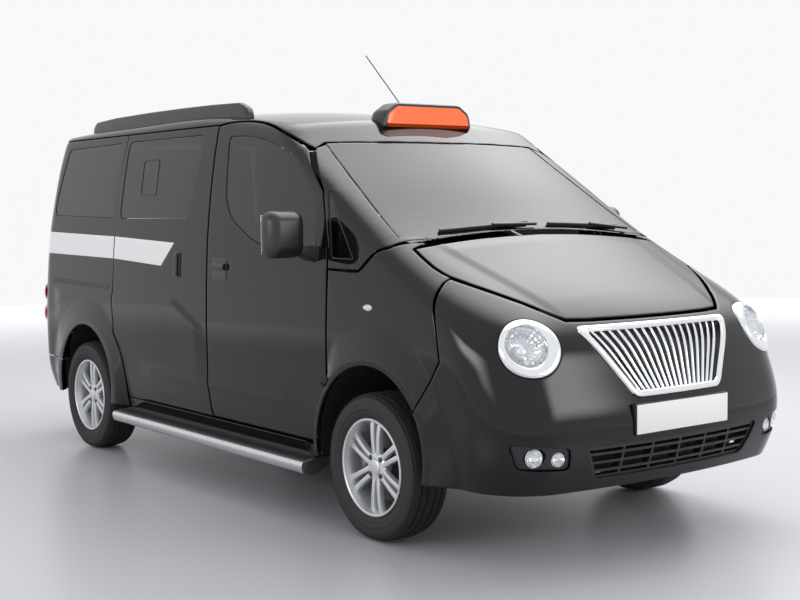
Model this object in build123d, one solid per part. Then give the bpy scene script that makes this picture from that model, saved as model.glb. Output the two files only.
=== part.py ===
"""Five-seat taxi cab on a compact van body: one-box shell, hinged front doors, sliding rear doors,
lift-up tailgate, front steering and four road wheels.

Millimetres. X points forward, Y to the car's left, Z up. The origin is on the ground below the
middle of the car.
"""

from build123d import *
from collections import namedtuple
import math
import os

# Running gear
WHEELBASE = 2725
FRONT_AXLE_X = 1292
REAR_AXLE_X = FRONT_AXLE_X - WHEELBASE
HALF_TRACK = 745
TYRE_RADIUS = 301
TYRE_WIDTH = 185
WHEEL_Z = TYRE_RADIUS
RIM_RADIUS = 200
RIM_WIDTH = 150
HUB_RADIUS = 62
STUB_RADIUS = 20
PIN_CLEARANCE = 0.3
SPOKE_PAIRS = 6
LUG_HOLES = 4
LUG_CIRCLE_RADIUS = 50
KINGPIN_OFFSET = 55
KINGPIN_Y = HALF_TRACK - KINGPIN_OFFSET
KINGPIN_RADIUS = 12
BEAM_RADIUS = 34
BEAM_ROOM = 10
BALL_HEIGHT = 112

# Body walls and gaps
WALL = 55
NOSE_WALL = 60
TAIL_WALL = 50
ROOF_WALL = 38
GLASS = 9
DOOR_GAP = 8.5
FLOOR_Z = 285
FLOOR_THICKNESS = 40
SEAT_FLOOR_Z = FLOOR_Z + FLOOR_THICKNESS
ARCH_Z = 350
FRONT_ARCH_RADIUS = 365
REAR_ARCH_RADIUS = 350
ARCH_CENTRE_AHEAD = 4
FLARE_Y = 847
FLARE_WIDTH = 150
FLARE_ROOT_Y = 805
FLARE_BACK_Y = 784
FLARE_LIP = 30

# Hinges
HINGE_SETBACK = 100
HINGE_Y = 808
DOOR_HINGE_Z = (700, 960)
HINGE_LEAF_HEIGHT = 50
HINGE_LEAF = 12
HINGE_REACH = 100
TAILGATE_LEAF_REACH = 72
HINGE_PIN_RADIUS = 6
HINGE_PIN_OVERLAP = 15
NOTCH_ROOM = 6
BONNET_HINGE_X = 1404
BONNET_HINGE_Z = 1205
BONNET_HINGE_Y = 300
TAILGATE_HINGE_X = -2050
TAILGATE_HINGE_Z = 1675
TAILGATE_HINGE_Y = 430

# Seam lines of the side, front and back panels
SILL_TOP = 338
B_LINE_X = -43
ROOF_SEAM_Z = 1752
DOOR_FRONT_X = 985
BONNET_REAR_X = 1412
SCREEN_FOOT_X = 1378
SCREEN_TOP_Z = 1640
BUMPER_TOP_Z = 480
TAILGATE_TOP_Z = 1743
TAILGATE_HALF_WIDTH = 700

FAR = 2600
OUT = 1000

# Body sections at rising heights. Columns: height, half width, then for the front and for the back
# the place of the middle, the plan radius and the corner radius.
Section = namedtuple("Section", "z half_width front front_r front_corner back back_r back_corner")
BODY = [
    Section(285, 788, 2150, 3600, 260, -2150, 4500, 150),
    Section(400, 814, 2194, 3600, 270, -2195, 4500, 170),
    Section(550, 825, 2208, 3700, 280, -2208, 4500, 180),
    Section(740, 828, 2150, 3800, 290, -2203, 4500, 180),
    Section(917, 824, 2035, 3800, 300, -2192, 4500, 180),
    Section(1060, 818, 1765, 3200, 280, -2180, 4500, 180),
    Section(1215, 808, 1440, 2800, 200, -2162, 4500, 180),
    Section(1420, 785, 1110, 2300, 130, -2125, 4500, 180),
    Section(1630, 752, 790, 2000, 110, -2082, 4500, 180),
    Section(1740, 728, 625, 2000, 110, -2052, 4500, 180),
    Section(1900, 684, 385, 2000, 110, -2000, 4500, 180),
]

# Roof sections from nose to tail. Columns: place, height in the middle, height at the shoulder.
Crown = namedtuple("Crown", "x middle shoulder")
ROOF = [
    Crown(2300, 1310, 1268),
    Crown(1500, 1560, 1518),
    Crown(700, 1738, 1696),
    Crown(-100, 1836, 1794),
    Crown(-900, 1842, 1800),
    Crown(-1700, 1830, 1788),
    Crown(-2500, 1795, 1753),
]
CROWN_HALF_WIDTH = 760
SHOULDER_RADIUS = 110
CROWN_FOOT_HALF_WIDTH = 1000


def body_ring(row, inset=0):
    """Plan outline of the body at one height, drawn in by the inset."""
    z = row.z
    half = row.half_width - inset
    radius, corner = row.front_r - inset, max(row.front_corner - inset, 40)
    front = row.front - inset * NOSE_WALL / WALL
    middle = front - radius
    kx = middle + math.sqrt((radius - corner) ** 2 - (half - corner) ** 2)
    ky = half - corner
    reach = math.hypot(kx - middle, ky)
    tx, ty = middle + radius * (kx - middle) / reach, radius * ky / reach
    bisector = (math.atan2(ky, kx - middle) + math.pi / 2) / 2
    mx, my = kx + corner * math.cos(bisector), ky + corner * math.sin(bisector)

    radius_b, corner_b = row.back_r - inset, max(row.back_corner - inset, 40)
    back = row.back + inset * TAIL_WALL / WALL
    middle_b = back + radius_b
    qx = middle_b - math.sqrt((radius_b - corner_b) ** 2 - (half - corner_b) ** 2)
    qy = half - corner_b
    reach_b = math.hypot(qx - middle_b, qy)
    ux, uy = middle_b + radius_b * (qx - middle_b) / reach_b, radius_b * qy / reach_b
    bisector_b = (math.atan2(qy, qx - middle_b) + math.pi / 2) / 2
    wx, wy = qx + corner_b * math.cos(bisector_b), qy + corner_b * math.sin(bisector_b)

    return Wire([
        ThreePointArc((tx, -ty, z), (front, 0, z), (tx, ty, z)),
        ThreePointArc((tx, ty, z), (mx, my, z), (kx, half, z)),
        Line((kx, half, z), (qx, half, z)),
        ThreePointArc((qx, half, z), (wx, wy, z), (ux, uy, z)),
        ThreePointArc((ux, uy, z), (back, 0, z), (ux, -uy, z)),
        ThreePointArc((ux, -uy, z), (wx, -wy, z), (qx, -half, z)),
        Line((qx, -half, z), (kx, -half, z)),
        ThreePointArc((kx, -half, z), (mx, -my, z), (tx, -ty, z)),
    ])


def crown_ring(row, drop=0):
    """Cross section of the space under the roof skin."""
    half, foot = CROWN_HALF_WIDTH, CROWN_FOOT_HALF_WIDTH
    flat = half - SHOULDER_RADIUS
    shoulder, middle, low = row.shoulder - drop, row.middle - drop, 0
    bend = SHOULDER_RADIUS * math.sqrt(0.5)
    side, top = shoulder - SHOULDER_RADIUS, shoulder
    return Wire([
        ThreePointArc((row.x, -flat, top), (row.x, 0, middle), (row.x, flat, top)),
        ThreePointArc((row.x, flat, top), (row.x, flat + bend, side + bend), (row.x, half, side)),
        Line((row.x, half, side), (row.x, foot, low)),
        Line((row.x, foot, low), (row.x, -foot, low)),
        Line((row.x, -foot, low), (row.x, -half, side)),
        ThreePointArc((row.x, -half, side), (row.x, -flat - bend, side + bend), (row.x, -flat, top)),
    ])


def body_walls(inset=0):
    """Filled block inside the body's side, nose and tail walls, drawn in by the inset."""
    rows = list(BODY)
    if inset > 0:
        rows[0] = rows[0]._replace(z=rows[0].z - 2 * WALL)
    return Solid.make_loft([body_ring(row, inset) for row in rows])


def body_block(inset=0, drop=0):
    """The same block closed by the roof, which is lowered by the drop."""
    return body_walls(inset) & Solid.make_loft([crown_ring(row, drop) for row in ROOF])


Via = namedtuple("Via", "a b")


def outline(place, items):
    """Closed face through the points, where a Via between two points makes their edge an arc."""
    ring = list(items) + [items[0]]
    edges, start, via = [], None, None
    for item in ring:
        if isinstance(item, Via):
            via = item
            continue
        if start is not None and via is not None:
            edges.append(ThreePointArc(place(*start), place(*via), place(*item)))
        elif start is not None:
            edges.append(Line(place(*start), place(*item)))
        start, via = item, None
    return Face(Wire(edges))


def drawn_in(face, gap):
    """The same face with its edge moved inwards by the gap."""
    return face if gap == 0 else offset(face, amount=-gap, kind=Kind.INTERSECTION).faces()[0]


def side_prism(items, near=0, far=OUT, gap=0):
    """Side view outline (x, z) pushed sideways through the left half."""
    face = drawn_in(outline(lambda x, z: (x, near, z), items), gap)
    return Solid.extrude(face, Vector(0, far - near, 0))


def end_prism(items, near, far, gap=0):
    """End view outline (y, z) pushed along the car."""
    face = drawn_in(outline(lambda y, z: (near, y, z), items), gap)
    return Solid.extrude(face, Vector(far - near, 0, 0))


def plan_prism(items, low, high, gap=0):
    """Plan outline (x, y) pushed upwards."""
    face = drawn_in(outline(lambda x, y: (x, y, low), items), gap)
    return Solid.extrude(face, Vector(0, 0, high - low))


def block(x0, x1, y0, y1, z0, z1):
    """Box between two corners."""
    size = Box(x1 - x0, y1 - y0, z1 - z0)
    return Pos((x0 + x1) / 2, (y0 + y1) / 2, (z0 + z1) / 2) * size


def rod(start, end, radius):
    """Round bar between two points."""
    a, b = Vector(*start), Vector(*end)
    return Solid.make_cylinder(radius, (b - a).length, Plane(origin=a, z_dir=b - a))


def both_sides(solid):
    """The left piece and its mirror image on the right."""
    return [solid, solid.mirror(Plane.XZ)]


def mirrored(items):
    """Outline with a straight middle line, closed by its own mirror image across the first column."""
    turned = [(-across, up) for across, up in reversed(items)]
    return list(items) + turned


PARTS = {}


def add(name, *solids):
    """Keep the solids as one named piece."""
    PARTS[name] = [solid for piece in solids for solid in piece.solids()]


# Body blocks that every panel and pane is cut from
outer = body_block()
cabin = body_block(WALL, ROOF_WALL)
shell = outer - cabin
glass_core = body_block(GLASS, GLASS)
pane_layer = outer - glass_core

# Outlines in the side view, as (x, z)
ARCH_X = {"front": FRONT_AXLE_X + ARCH_CENTRE_AHEAD, "rear": REAR_AXLE_X}
DOOR_ARCH_RADIUS = FRONT_ARCH_RADIUS + FLARE_LIP
SLIDE_ARCH_RADIUS = 485


def on_arch(which, radius, x=None, z=None, behind=True):
    """Point on a circle round a wheel arch, found from its x or its z."""
    if z is not None:
        run = math.sqrt(radius ** 2 - (z - ARCH_Z) ** 2)
        return (ARCH_X[which] + (-run if behind else run), z)
    return (x, ARCH_Z + math.sqrt(radius ** 2 - (x - ARCH_X[which]) ** 2))


def arch_via(which, radius, start, end):
    """Point of the arch circle half way between two of its points."""
    first, last = [math.atan2(p[1] - ARCH_Z, p[0] - ARCH_X[which]) for p in (start, end)]
    swing = (last - first + math.pi) % (2 * math.pi) - math.pi
    middle = first + swing / 2
    return Via(ARCH_X[which] + radius * math.cos(middle), ARCH_Z + radius * math.sin(middle))


door_toe = on_arch("front", DOOR_ARCH_RADIUS, z=SILL_TOP)
door_knee = on_arch("front", DOOR_ARCH_RADIUS, x=DOOR_FRONT_X)
door_arch = arch_via("front", DOOR_ARCH_RADIUS, door_knee, door_toe)
DOOR_TOP_FRONT = (700, 1612)
DOOR_TOP_VIA = Via(420, 1724)
DOOR_TOP_REAR = (B_LINE_X - 16, ROOF_SEAM_Z)
DOOR_SHOULDER = (905, 1425)
DOOR_BELT_FRONT = (975, 1194)
FRONT_DOOR = [
    (B_LINE_X, SILL_TOP), DOOR_TOP_REAR, DOOR_TOP_VIA, DOOR_TOP_FRONT, DOOR_SHOULDER, DOOR_BELT_FRONT,
    (DOOR_FRONT_X, 1000), door_knee, door_arch, door_toe,
]
FRONT_WINDOW = [
    (62, 1690), (95, 1410), Via(160, 1312), (253, 1260), Via(347, 1215), (449, 1185), (905, 1118),
    (848, 1395), (668, 1570), Via(380, 1665),
]
slide_toe = on_arch("rear", SLIDE_ARCH_RADIUS, z=SILL_TOP, behind=False)
slide_knee = on_arch("rear", SLIDE_ARCH_RADIUS, x=-1078)
slide_arch = arch_via("rear", SLIDE_ARCH_RADIUS, slide_knee, slide_toe)
SLIDE_REAR = [(-1094, 913), (-1044, ROOF_SEAM_Z)]
SLIDING_DOOR = [
    (B_LINE_X, SILL_TOP), slide_toe, slide_arch, slide_knee, *SLIDE_REAR, DOOR_TOP_REAR,
]
SLIDING_WINDOW = [(-185, 1715), (-270, 1320), Via(-288, 1292), (-320, 1284), (-1030, 1300), (-1012, 1715)]
QUARTER_WINDOW = [
    (-1100, 1712), (-1122, 1303), (-1880, 1318), Via(-1918, 1330), (-1915, 1370), (-1800, 1700),
]
PILLAR_SEAM = [(977, 1095), (1200, 1095), (1345, 1205), (1400, 1250)]
VENT_WINDOW = [(1010, 1135), (1165, 1135), (915, 1455), (930, 1425)]
FASCIA_SEAM = [
    (1640, 1260), (1640, 1090), (1711, 886), (1738, 769),
    on_arch("front", FRONT_ARCH_RADIUS, z=556, behind=False),
]
FENDER = [
    door_toe, door_arch, door_knee, (DOOR_FRONT_X, 1000), *PILLAR_SEAM, *FASCIA_SEAM,
    (FASCIA_SEAM[-1][0], FLOOR_Z - 10), (door_toe[0], FLOOR_Z - 10),
]
PILLAR = [
    *PILLAR_SEAM, (1500, 1290), (1500, DOOR_TOP_FRONT[1]), DOOR_TOP_FRONT, DOOR_SHOULDER, DOOR_BELT_FRONT,
]
ROOF_SIDE = [
    (-FAR, ROOF_SEAM_Z), DOOR_TOP_REAR, DOOR_TOP_VIA, DOOR_TOP_FRONT, (FAR, DOOR_TOP_FRONT[1]),
    (FAR, FAR), (-FAR, FAR),
]
REAR_QUARTER = [
    slide_toe, slide_arch, slide_knee, *SLIDE_REAR, (-FAR, ROOF_SEAM_Z), (-FAR, FLOOR_Z - 10),
    (slide_toe[0], FLOOR_Z - 10),
]
SILL = [
    (slide_toe[0], FLOOR_Z), (slide_toe[0], SILL_TOP), (door_toe[0], SILL_TOP), (door_toe[0], FLOOR_Z),
]

# Outlines in the end view, as (y, z)
SCREEN = mirrored([(705, 1100), (700, 1200), (612, SCREEN_TOP_Z)])
TAILGATE = mirrored([
    (TAILGATE_HALF_WIDTH, BUMPER_TOP_Z), (TAILGATE_HALF_WIDTH + 5, 1200), (620, TAILGATE_TOP_Z),
])
TAILGATE_WINDOW = mirrored([(560, 1290), (522, 1610)])

# Bonnet outline in the plan view, as (x, y), and the slope below which it ends
BONNET = [
    (BONNET_REAR_X, -690), (BONNET_REAR_X, 690), Via(1550, 699), (1640, 682), Via(1800, 592), (1946, 490),
    (2009, 432), Via(2040, 0), (2009, -432), (1946, -490), Via(1800, -592), (1640, -682), Via(1550, -699),
]
BONNET_UNDER = [
    (1250, 1160), (BONNET_REAR_X, 1130), (1640, 1020), (1946, 935), (2100, 873), (2100, 1500), (1250, 1500),
]

CUT_FROM_Y = 300
SCREEN_CUT_X = 300
BONNET_SPAN_Z = (700, 1500)
COWL_SLOT_HALF_WIDTH = 705
TAIL_CUT_X = -1900
screen_opening = end_prism(SCREEN, SCREEN_CUT_X, SCREEN_FOOT_X)
cowl_slot = block(SCREEN_FOOT_X, BONNET_REAR_X + 1, -COWL_SLOT_HALF_WIDTH, COWL_SLOT_HALF_WIDTH,
                  *BONNET_SPAN_Z)
bonnet_opening = plan_prism(BONNET, *BONNET_SPAN_Z) & side_prism(BONNET_UNDER, -OUT, OUT)
tailgate_opening = end_prism(TAILGATE, -FAR, TAIL_CUT_X)


def wheel_opening(which, radius):
    """Round hole of a wheel arch through the left side."""
    return rod((ARCH_X[which], 0, ARCH_Z), (ARCH_X[which], OUT, ARCH_Z), radius)


def flare(which, radius):
    """Swollen rim round a wheel arch, thickest at its lip."""
    profile = [
        (radius, FLARE_BACK_Y), (radius, FLARE_Y - 8), (radius + 8, FLARE_Y), (radius + FLARE_LIP, FLARE_Y),
        (radius + FLARE_WIDTH, FLARE_ROOT_Y), (radius + FLARE_WIDTH, FLARE_BACK_Y),
    ]
    face = outline(lambda r, y: (ARCH_X[which] + r, y, ARCH_Z), profile)
    ring = revolve(face, axis=Axis((ARCH_X[which], 0, ARCH_Z), (0, 1, 0)))
    return ring & block(-FAR, FAR, 0, OUT, FLOOR_Z, 1000)


# Front wings
front_hole = wheel_opening("front", FRONT_ARCH_RADIUS)
wing = (shell & side_prism(FENDER)) - bonnet_opening - cowl_slot - screen_opening
wing = (wing + (flare("front", FRONT_ARCH_RADIUS) & side_prism(FENDER))) - front_hole
add("front_wings", *both_sides(wing))

# Screen pillars with the vent panes ahead of the doors
pillar = (shell & side_prism(PILLAR)) - screen_opening - cowl_slot - bonnet_opening
vent_opening = side_prism(VENT_WINDOW, CUT_FROM_Y)
add("a_pillars", *both_sides(pillar - vent_opening))

# Roof with its windscreen header
add("roof_panel", (shell & side_prism(ROOF_SIDE, -OUT, OUT)) - screen_opening)

# Windscreen and fixed side panes, all bonded flush
add("windscreen", pane_layer & screen_opening)

# Sliding doors, shown shut
sliding_opening = side_prism(SLIDING_WINDOW, CUT_FROM_Y)
sliding = (shell & side_prism(SLIDING_DOOR)) - sliding_opening
add("sliding_doors", *both_sides(sliding))

# Rear quarter panels
rear_hole = wheel_opening("rear", REAR_ARCH_RADIUS)
quarter_opening = side_prism(QUARTER_WINDOW, CUT_FROM_Y)
BUMPER_FRONT_X = on_arch("rear", REAR_ARCH_RADIUS, z=BUMPER_TOP_Z)[0]
bumper_zone = block(-FAR, BUMPER_FRONT_X, -OUT, OUT, FLOOR_Z - 10, BUMPER_TOP_Z)
LAMP_Z = (664, 942)
LAMP_INNER_Y = 716
LAMP_DEPTH = 30
LAMP_FRONT_X = -2040
lamp_zone = block(-FAR, LAMP_FRONT_X, LAMP_INNER_Y, OUT, *LAMP_Z)
rear_flare = flare("rear", REAR_ARCH_RADIUS) & side_prism(REAR_QUARTER)
quarter = (shell & side_prism(REAR_QUARTER)) - quarter_opening - tailgate_opening
quarter = (quarter + rear_flare) - rear_hole - bumper_zone
tail_lamp = (outer & lamp_zone) - body_walls(LAMP_DEPTH)
quarter = quarter - tail_lamp
quarter = max(quarter.solids(), key=lambda solid: solid.volume)
add("rear_quarters", *both_sides(quarter))
add("tail_lamps", *both_sides(tail_lamp))
add("side_glass", *[pane for opening in (vent_opening, sliding_opening, quarter_opening)
                    for pane in both_sides(pane_layer & opening)])

# Rear bumper wraps round both corners
bumper = shell & bumper_zone
for hole in both_sides(rear_hole):
    bumper = bumper - hole
add("rear_bumper", bumper)

# Sills below the doors
add("sills", *both_sides(shell & side_prism(SILL)))

# Front doors
hinge_x = DOOR_FRONT_X - HINGE_SETBACK
door = shell & side_prism(FRONT_DOOR, gap=DOOR_GAP)
front_opening = side_prism(FRONT_WINDOW, CUT_FROM_Y)
notch_half = HINGE_LEAF_HEIGHT / 2 + NOTCH_ROOM
pin_half = notch_half + HINGE_PIN_OVERLAP
pin_hole = HINGE_PIN_RADIUS + PIN_CLEARANCE
NOTCH_BEHIND_PIN = 12
NOTCH_SKIN_Y = HINGE_Y + 8
for hinge_z in DOOR_HINGE_Z:
    low, high = hinge_z - notch_half, hinge_z + notch_half
    door = door - block(hinge_x - NOTCH_BEHIND_PIN, DOOR_FRONT_X, 0, NOTCH_SKIN_Y, low, high)
    low, high = hinge_z - pin_half - 1, hinge_z + pin_half + 1
    door = door - rod((hinge_x, HINGE_Y, low), (hinge_x, HINGE_Y, high), pin_hole)

# The door's rear edge is bevelled from the belt up, so that its inner corner swings clear
BELT = BODY[3]
EAVES = BODY[9]
BEVEL_LEAN = 11
BEVEL_CUT = 9
BEVEL_SIZE = (1120, 600, 40)
bevel_foot = Vector(B_LINE_X + DOOR_GAP, BELT.half_width, BELT.z)
bevel_head = Vector(B_LINE_X + DOOR_GAP - BEVEL_LEAN, EAVES.half_width, EAVES.z)
bevel_inner = Vector(B_LINE_X + DOOR_GAP + BEVEL_CUT, BELT.half_width - WALL, BELT.z)
bevel_normal = (bevel_head - bevel_foot).cross(bevel_inner - bevel_foot)
bevel_plane = Plane(origin=bevel_foot, x_dir=bevel_head - bevel_foot, z_dir=bevel_normal)
bevel_side = 1 if bevel_plane.z_dir.X < 0 else -1
door = door - bevel_plane * Pos(BEVEL_SIZE[0] / 2, 0, bevel_side * BEVEL_SIZE[2] / 2) * Box(*BEVEL_SIZE)
add("front_door_left", door - front_opening)
add("front_door_right", (door - front_opening).mirror(Plane.XZ))
door_pane = pane_layer & front_opening
add("door_glass_left", door_pane)
add("door_glass_right", door_pane.mirror(Plane.XZ))

# Door posts that carry the hinge leaves and pins
POST = (DOOR_FRONT_X + DOOR_GAP, DOOR_FRONT_X + 75)
POST_Y = 690
POST_Z = (650, 1090)
post = cabin & block(*POST, POST_Y, OUT, *POST_Z)
leaf_y = HINGE_Y - HINGE_REACH
for hinge_z in DOOR_HINGE_Z:
    low, high = hinge_z - HINGE_LEAF_HEIGHT / 2, hinge_z + HINGE_LEAF_HEIGHT / 2
    half = HINGE_LEAF / 2
    post = post + block(hinge_x - half, POST[0] + 5, leaf_y - half, leaf_y + half, low, high)
    post = post + block(hinge_x - half, hinge_x + half, leaf_y, HINGE_Y, low, high)
    low, high = hinge_z - pin_half, hinge_z + pin_half
    post = post + rod((hinge_x, HINGE_Y, low), (hinge_x, HINGE_Y, high), HINGE_PIN_RADIUS)
add("hinge_posts", *both_sides(post))

# Centre posts behind the joint of the front and sliding doors
POST_CLEARANCE = 6
POST_DEPTH = 55
CENTRE_POST_X = (B_LINE_X - 60, B_LINE_X + 40)
CENTRE_POST_TOP = 1700
centre_post = body_walls(WALL + POST_CLEARANCE) & block(*CENTRE_POST_X, 0, OUT, SEAT_FLOOR_Z, CENTRE_POST_TOP)
centre_post = centre_post - body_walls(WALL + POST_DEPTH)
add("b_posts", *both_sides(centre_post))

# Nose panel
FASCIA = [*FASCIA_SEAM, (FASCIA_SEAM[-1][0], FLOOR_Z - 10), (FAR, FLOOR_Z - 10), (FAR, 1260)]
LAMP_CENTRE = Vector(2045, 644, 838)
LAMP_RADIUS = 113
LENS_RADIUS = 84
LAMP_TURN = 20
LAMP_TILT = 12
LAMP_PROUD = 12
LAMP_BACK = 70
lamp_axis = Vector(1, 0, 0).rotate(Axis.Y, -LAMP_TILT).rotate(Axis.Z, LAMP_TURN)


def along_lamp(radius, start, end):
    """Round bar on the headlamp's own axis, between two places along it."""
    return rod(LAMP_CENTRE + lamp_axis * start, LAMP_CENTRE + lamp_axis * end, radius)


GRILLE = mirrored([(239, 628), (425, 893)])
GRILLE_RIM = 24
INTAKE = mirrored([(420, 335), (490, 465)])
INTAKE_RIM = 14
FOG_PANEL = [(548, 385), (740, 395), (770, 492), (560, 470)]
NOSE_X = 1900
CORNER_X = 1700
grille_opening = end_prism(GRILLE, NOSE_X, FAR)
intake_opening = end_prism(INTAKE, NOSE_X, FAR)
fog_opening = end_prism(FOG_PANEL, CORNER_X, FAR)
fascia = (shell & side_prism(FASCIA, -OUT, OUT)) - bonnet_opening - grille_opening - intake_opening
for cut in (front_hole, along_lamp(LAMP_RADIUS, -3 * LAMP_BACK, LAMP_RADIUS), fog_opening):
    for piece in both_sides(cut):
        fascia = fascia - piece
add("front_fascia", fascia)

# Headlamps
bezel = along_lamp(LAMP_RADIUS, -LAMP_BACK, LAMP_PROUD) - along_lamp(LENS_RADIUS, -LAMP_BACK, LAMP_PROUD)
lens_ball = Pos(*(LAMP_CENTRE + lamp_axis * (LAMP_PROUD - 3 * LENS_RADIUS))) * Sphere(3 * LENS_RADIUS)
lens = along_lamp(LENS_RADIUS, -LAMP_BACK, LAMP_PROUD) & lens_ball
add("headlamp_bezels", *both_sides(bezel))
add("headlamp_lenses", *both_sides(lens))

# Grille: bright surround with fanned upright bars
BAR_COUNT = 17
BAR_WIDTH = 11
BAR_END = 8
FRAME_PROUD = 10
FRAME_DEPTH = 35
nose = block(NOSE_X, FAR, -OUT, OUT, FLOOR_Z, 1000)
frame_layer = (body_walls(-FRAME_PROUD) & nose) - body_walls(FRAME_DEPTH)
bar_layer = (body_walls() & nose) - body_walls(FRAME_DEPTH - 5)
(foot_y, foot_z), (head_y, head_z) = GRILLE[0], GRILLE[1]
grille = (frame_layer & grille_opening) - end_prism(GRILLE, NOSE_X, FAR, gap=GRILLE_RIM)
bars = []
for index in range(BAR_COUNT):
    share = (2 * index + 1) / BAR_COUNT - 1
    low, high = share * (foot_y - GRILLE_RIM), share * (head_y - GRILLE_RIM)
    half = BAR_WIDTH / 2
    bar = [
        (low - half, foot_z + BAR_END), (low + half, foot_z + BAR_END),
        (high + half, head_z - BAR_END), (high - half, head_z - BAR_END),
    ]
    bars.append(bar_layer & end_prism(bar, NOSE_X, FAR))
add("grille", grille.fuse(*bars))

# Lower air intake with level and upright bars
INTAKE_LEVELS = (367, 400, 433)
INTAKE_UPRIGHTS = (-300, -150, 0, 150, 300)
STRIP_HALF = 5
intake_low, intake_high = INTAKE[0][1], INTAKE[1][1]
chin = block(CORNER_X, FAR, -OUT, OUT, FLOOR_Z, 600)
chin_back = body_walls(FRAME_DEPTH + GLASS)
intake_layer = (body_walls(GLASS) & chin) - chin_back
intake_core = intake_layer & intake_opening
intake = intake_core - end_prism(INTAKE, NOSE_X, FAR, gap=INTAKE_RIM)
strips = [block(NOSE_X, FAR, -OUT, OUT, z - STRIP_HALF, z + STRIP_HALF) for z in INTAKE_LEVELS]
strips += [block(NOSE_X, FAR, y - STRIP_HALF, y + STRIP_HALF, intake_low + 1, intake_high - 1)
           for y in INTAKE_UPRIGHTS]
strips = [intake_core & strip for strip in strips]
add("lower_intake", intake.fuse(*strips))

# Fog lamps in dark corner panels
FOG_LAMPS = [(690, 440), (600, 428)]
FOG_RADIUS = 33
FOG_SUNK = 4
fog_layer = (body_walls(FOG_SUNK) & chin) - chin_back
fog_barrels = [rod((CORNER_X, y, z), (FAR, y, z), FOG_RADIUS) for y, z in FOG_LAMPS]
fog_panel = intake_layer & fog_opening
for barrel in fog_barrels:
    fog_panel = fog_panel - barrel
fog_lamps = [fog_layer & barrel for barrel in fog_barrels]
add("fog_panels", *both_sides(fog_panel))
add("fog_lamps", *[lamp for left in fog_lamps for lamp in both_sides(left)])

# Bonnet with two hinge eyes under its rear edge
BONNET_GAP = 6
EYE_RADIUS = 14
EYE_WIDTH = 40
EYE_LUG = (40, 8)
bonnet = shell & plan_prism(BONNET, *BONNET_SPAN_Z, gap=DOOR_GAP)
bonnet = bonnet & side_prism(BONNET_UNDER, -OUT, OUT, gap=BONNET_GAP)
bonnet = max(bonnet.solids(), key=lambda solid: solid.volume)
for y in (-BONNET_HINGE_Y, BONNET_HINGE_Y):
    side = EYE_WIDTH / 2
    x, z = BONNET_HINGE_X, BONNET_HINGE_Z
    bonnet = bonnet + rod((x, y - side, z), (x, y + side, z), EYE_RADIUS)
    bonnet = bonnet + block(x, x + EYE_LUG[0], y - side, y + side, z - EYE_LUG[1], z + EYE_LUG[1])
    bonnet = bonnet - rod((x, y - side - 1, z), (x, y + side + 1, z), pin_hole)
add("bonnet", bonnet)

# Bulkhead and the cowl tray on it, with the bonnet's hinge brackets
BULKHEAD_X = (1075, 1095)
COWL_Z = (1120, 1140)
COWL_HALF_WIDTH = 680
LINER = 12
FRONT_WELL_Y = 470
REAR_WELL_Y = 560
WELL_END_Y = 725


def well_core(which, radius, inner):
    """Space of a wheel well, from its inner wall outwards."""
    return rod((ARCH_X[which], inner, ARCH_Z), (ARCH_X[which], OUT, ARCH_Z), radius)


WELLS = {"front": (FRONT_ARCH_RADIUS, FRONT_WELL_Y), "rear": (REAR_ARCH_RADIUS, REAR_WELL_Y)}
well_blanks = [well_core(which, radius + LINER, inner - LINER) for which, (radius, inner) in WELLS.items()]
bulkhead = cabin & block(*BULKHEAD_X, -OUT, OUT, FLOOR_Z, COWL_Z[0])
for blank in both_sides(well_blanks[0]):
    bulkhead = bulkhead - blank
add("bulkhead", bulkhead)
cowl = block(BULKHEAD_X[0], BONNET_REAR_X, -COWL_HALF_WIDTH, COWL_HALF_WIDTH, *COWL_Z)
CHEEK = 12
CHEEK_RADIUS = 10
CHEEK_GAP = 2
cheek_in = EYE_WIDTH / 2 + CHEEK_GAP
cheek_out = cheek_in + CHEEK
for y in (-BONNET_HINGE_Y, BONNET_HINGE_Y):
    x, z = BONNET_HINGE_X, BONNET_HINGE_Z
    cowl = cowl + rod((x, y - cheek_out, z), (x, y + cheek_out, z), HINGE_PIN_RADIUS)
    for near, far in ((-cheek_out, -cheek_in), (cheek_in, cheek_out)):
        cowl = cowl + rod((x, y + near, z), (x, y + far, z), CHEEK_RADIUS)
        cowl = cowl + block(x - CHEEK_RADIUS, x + CHEEK_RADIUS, y + near, y + far, COWL_Z[0], z)
add("cowl", cowl)

# Wheel well liners
liners = []
for blank, (which, (radius, inner)) in zip(well_blanks, WELLS.items()):
    liner = blank - well_core(which, radius, inner)
    liner = liner & block(-FAR, FAR, 0, WELL_END_Y, SEAT_FLOOR_Z, 1000)
    liner = liner - rod((REAR_AXLE_X, 0, WHEEL_Z), (REAR_AXLE_X, OUT, WHEEL_Z), BEAM_RADIUS + BEAM_ROOM)
    liners += both_sides(liner)
add("wheel_wells", *liners)

# Floor: low between the axles, raised over the rear one, with four lifting pads below it
REAR_FLOOR_Z = 400
REAR_FLOOR_TOP = REAR_FLOOR_Z + FLOOR_THICKNESS
RISER = (-1150, -1130)
FLOOR_ENDS = (-2080, BULKHEAD_X[0])
PAD_X = (700, -950)
PAD_Y = 620
PAD_SIZE = (90, 70)
PAD_DROP = 15
floor = cabin & block(RISER[0], FLOOR_ENDS[1], -OUT, OUT, FLOOR_Z, SEAT_FLOOR_Z)
floor = floor + (cabin & block(*RISER, -OUT, OUT, FLOOR_Z, REAR_FLOOR_TOP))
floor = floor + (cabin & block(FLOOR_ENDS[0], RISER[1], -OUT, OUT, REAR_FLOOR_Z, REAR_FLOOR_TOP))
for blank in well_blanks:
    for piece in both_sides(blank):
        floor = floor - piece
for x in PAD_X:
    for y in (-PAD_Y, PAD_Y):
        floor = floor + Pos(x, y, FLOOR_Z - PAD_DROP / 2) * Box(*PAD_SIZE, PAD_DROP)
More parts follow.
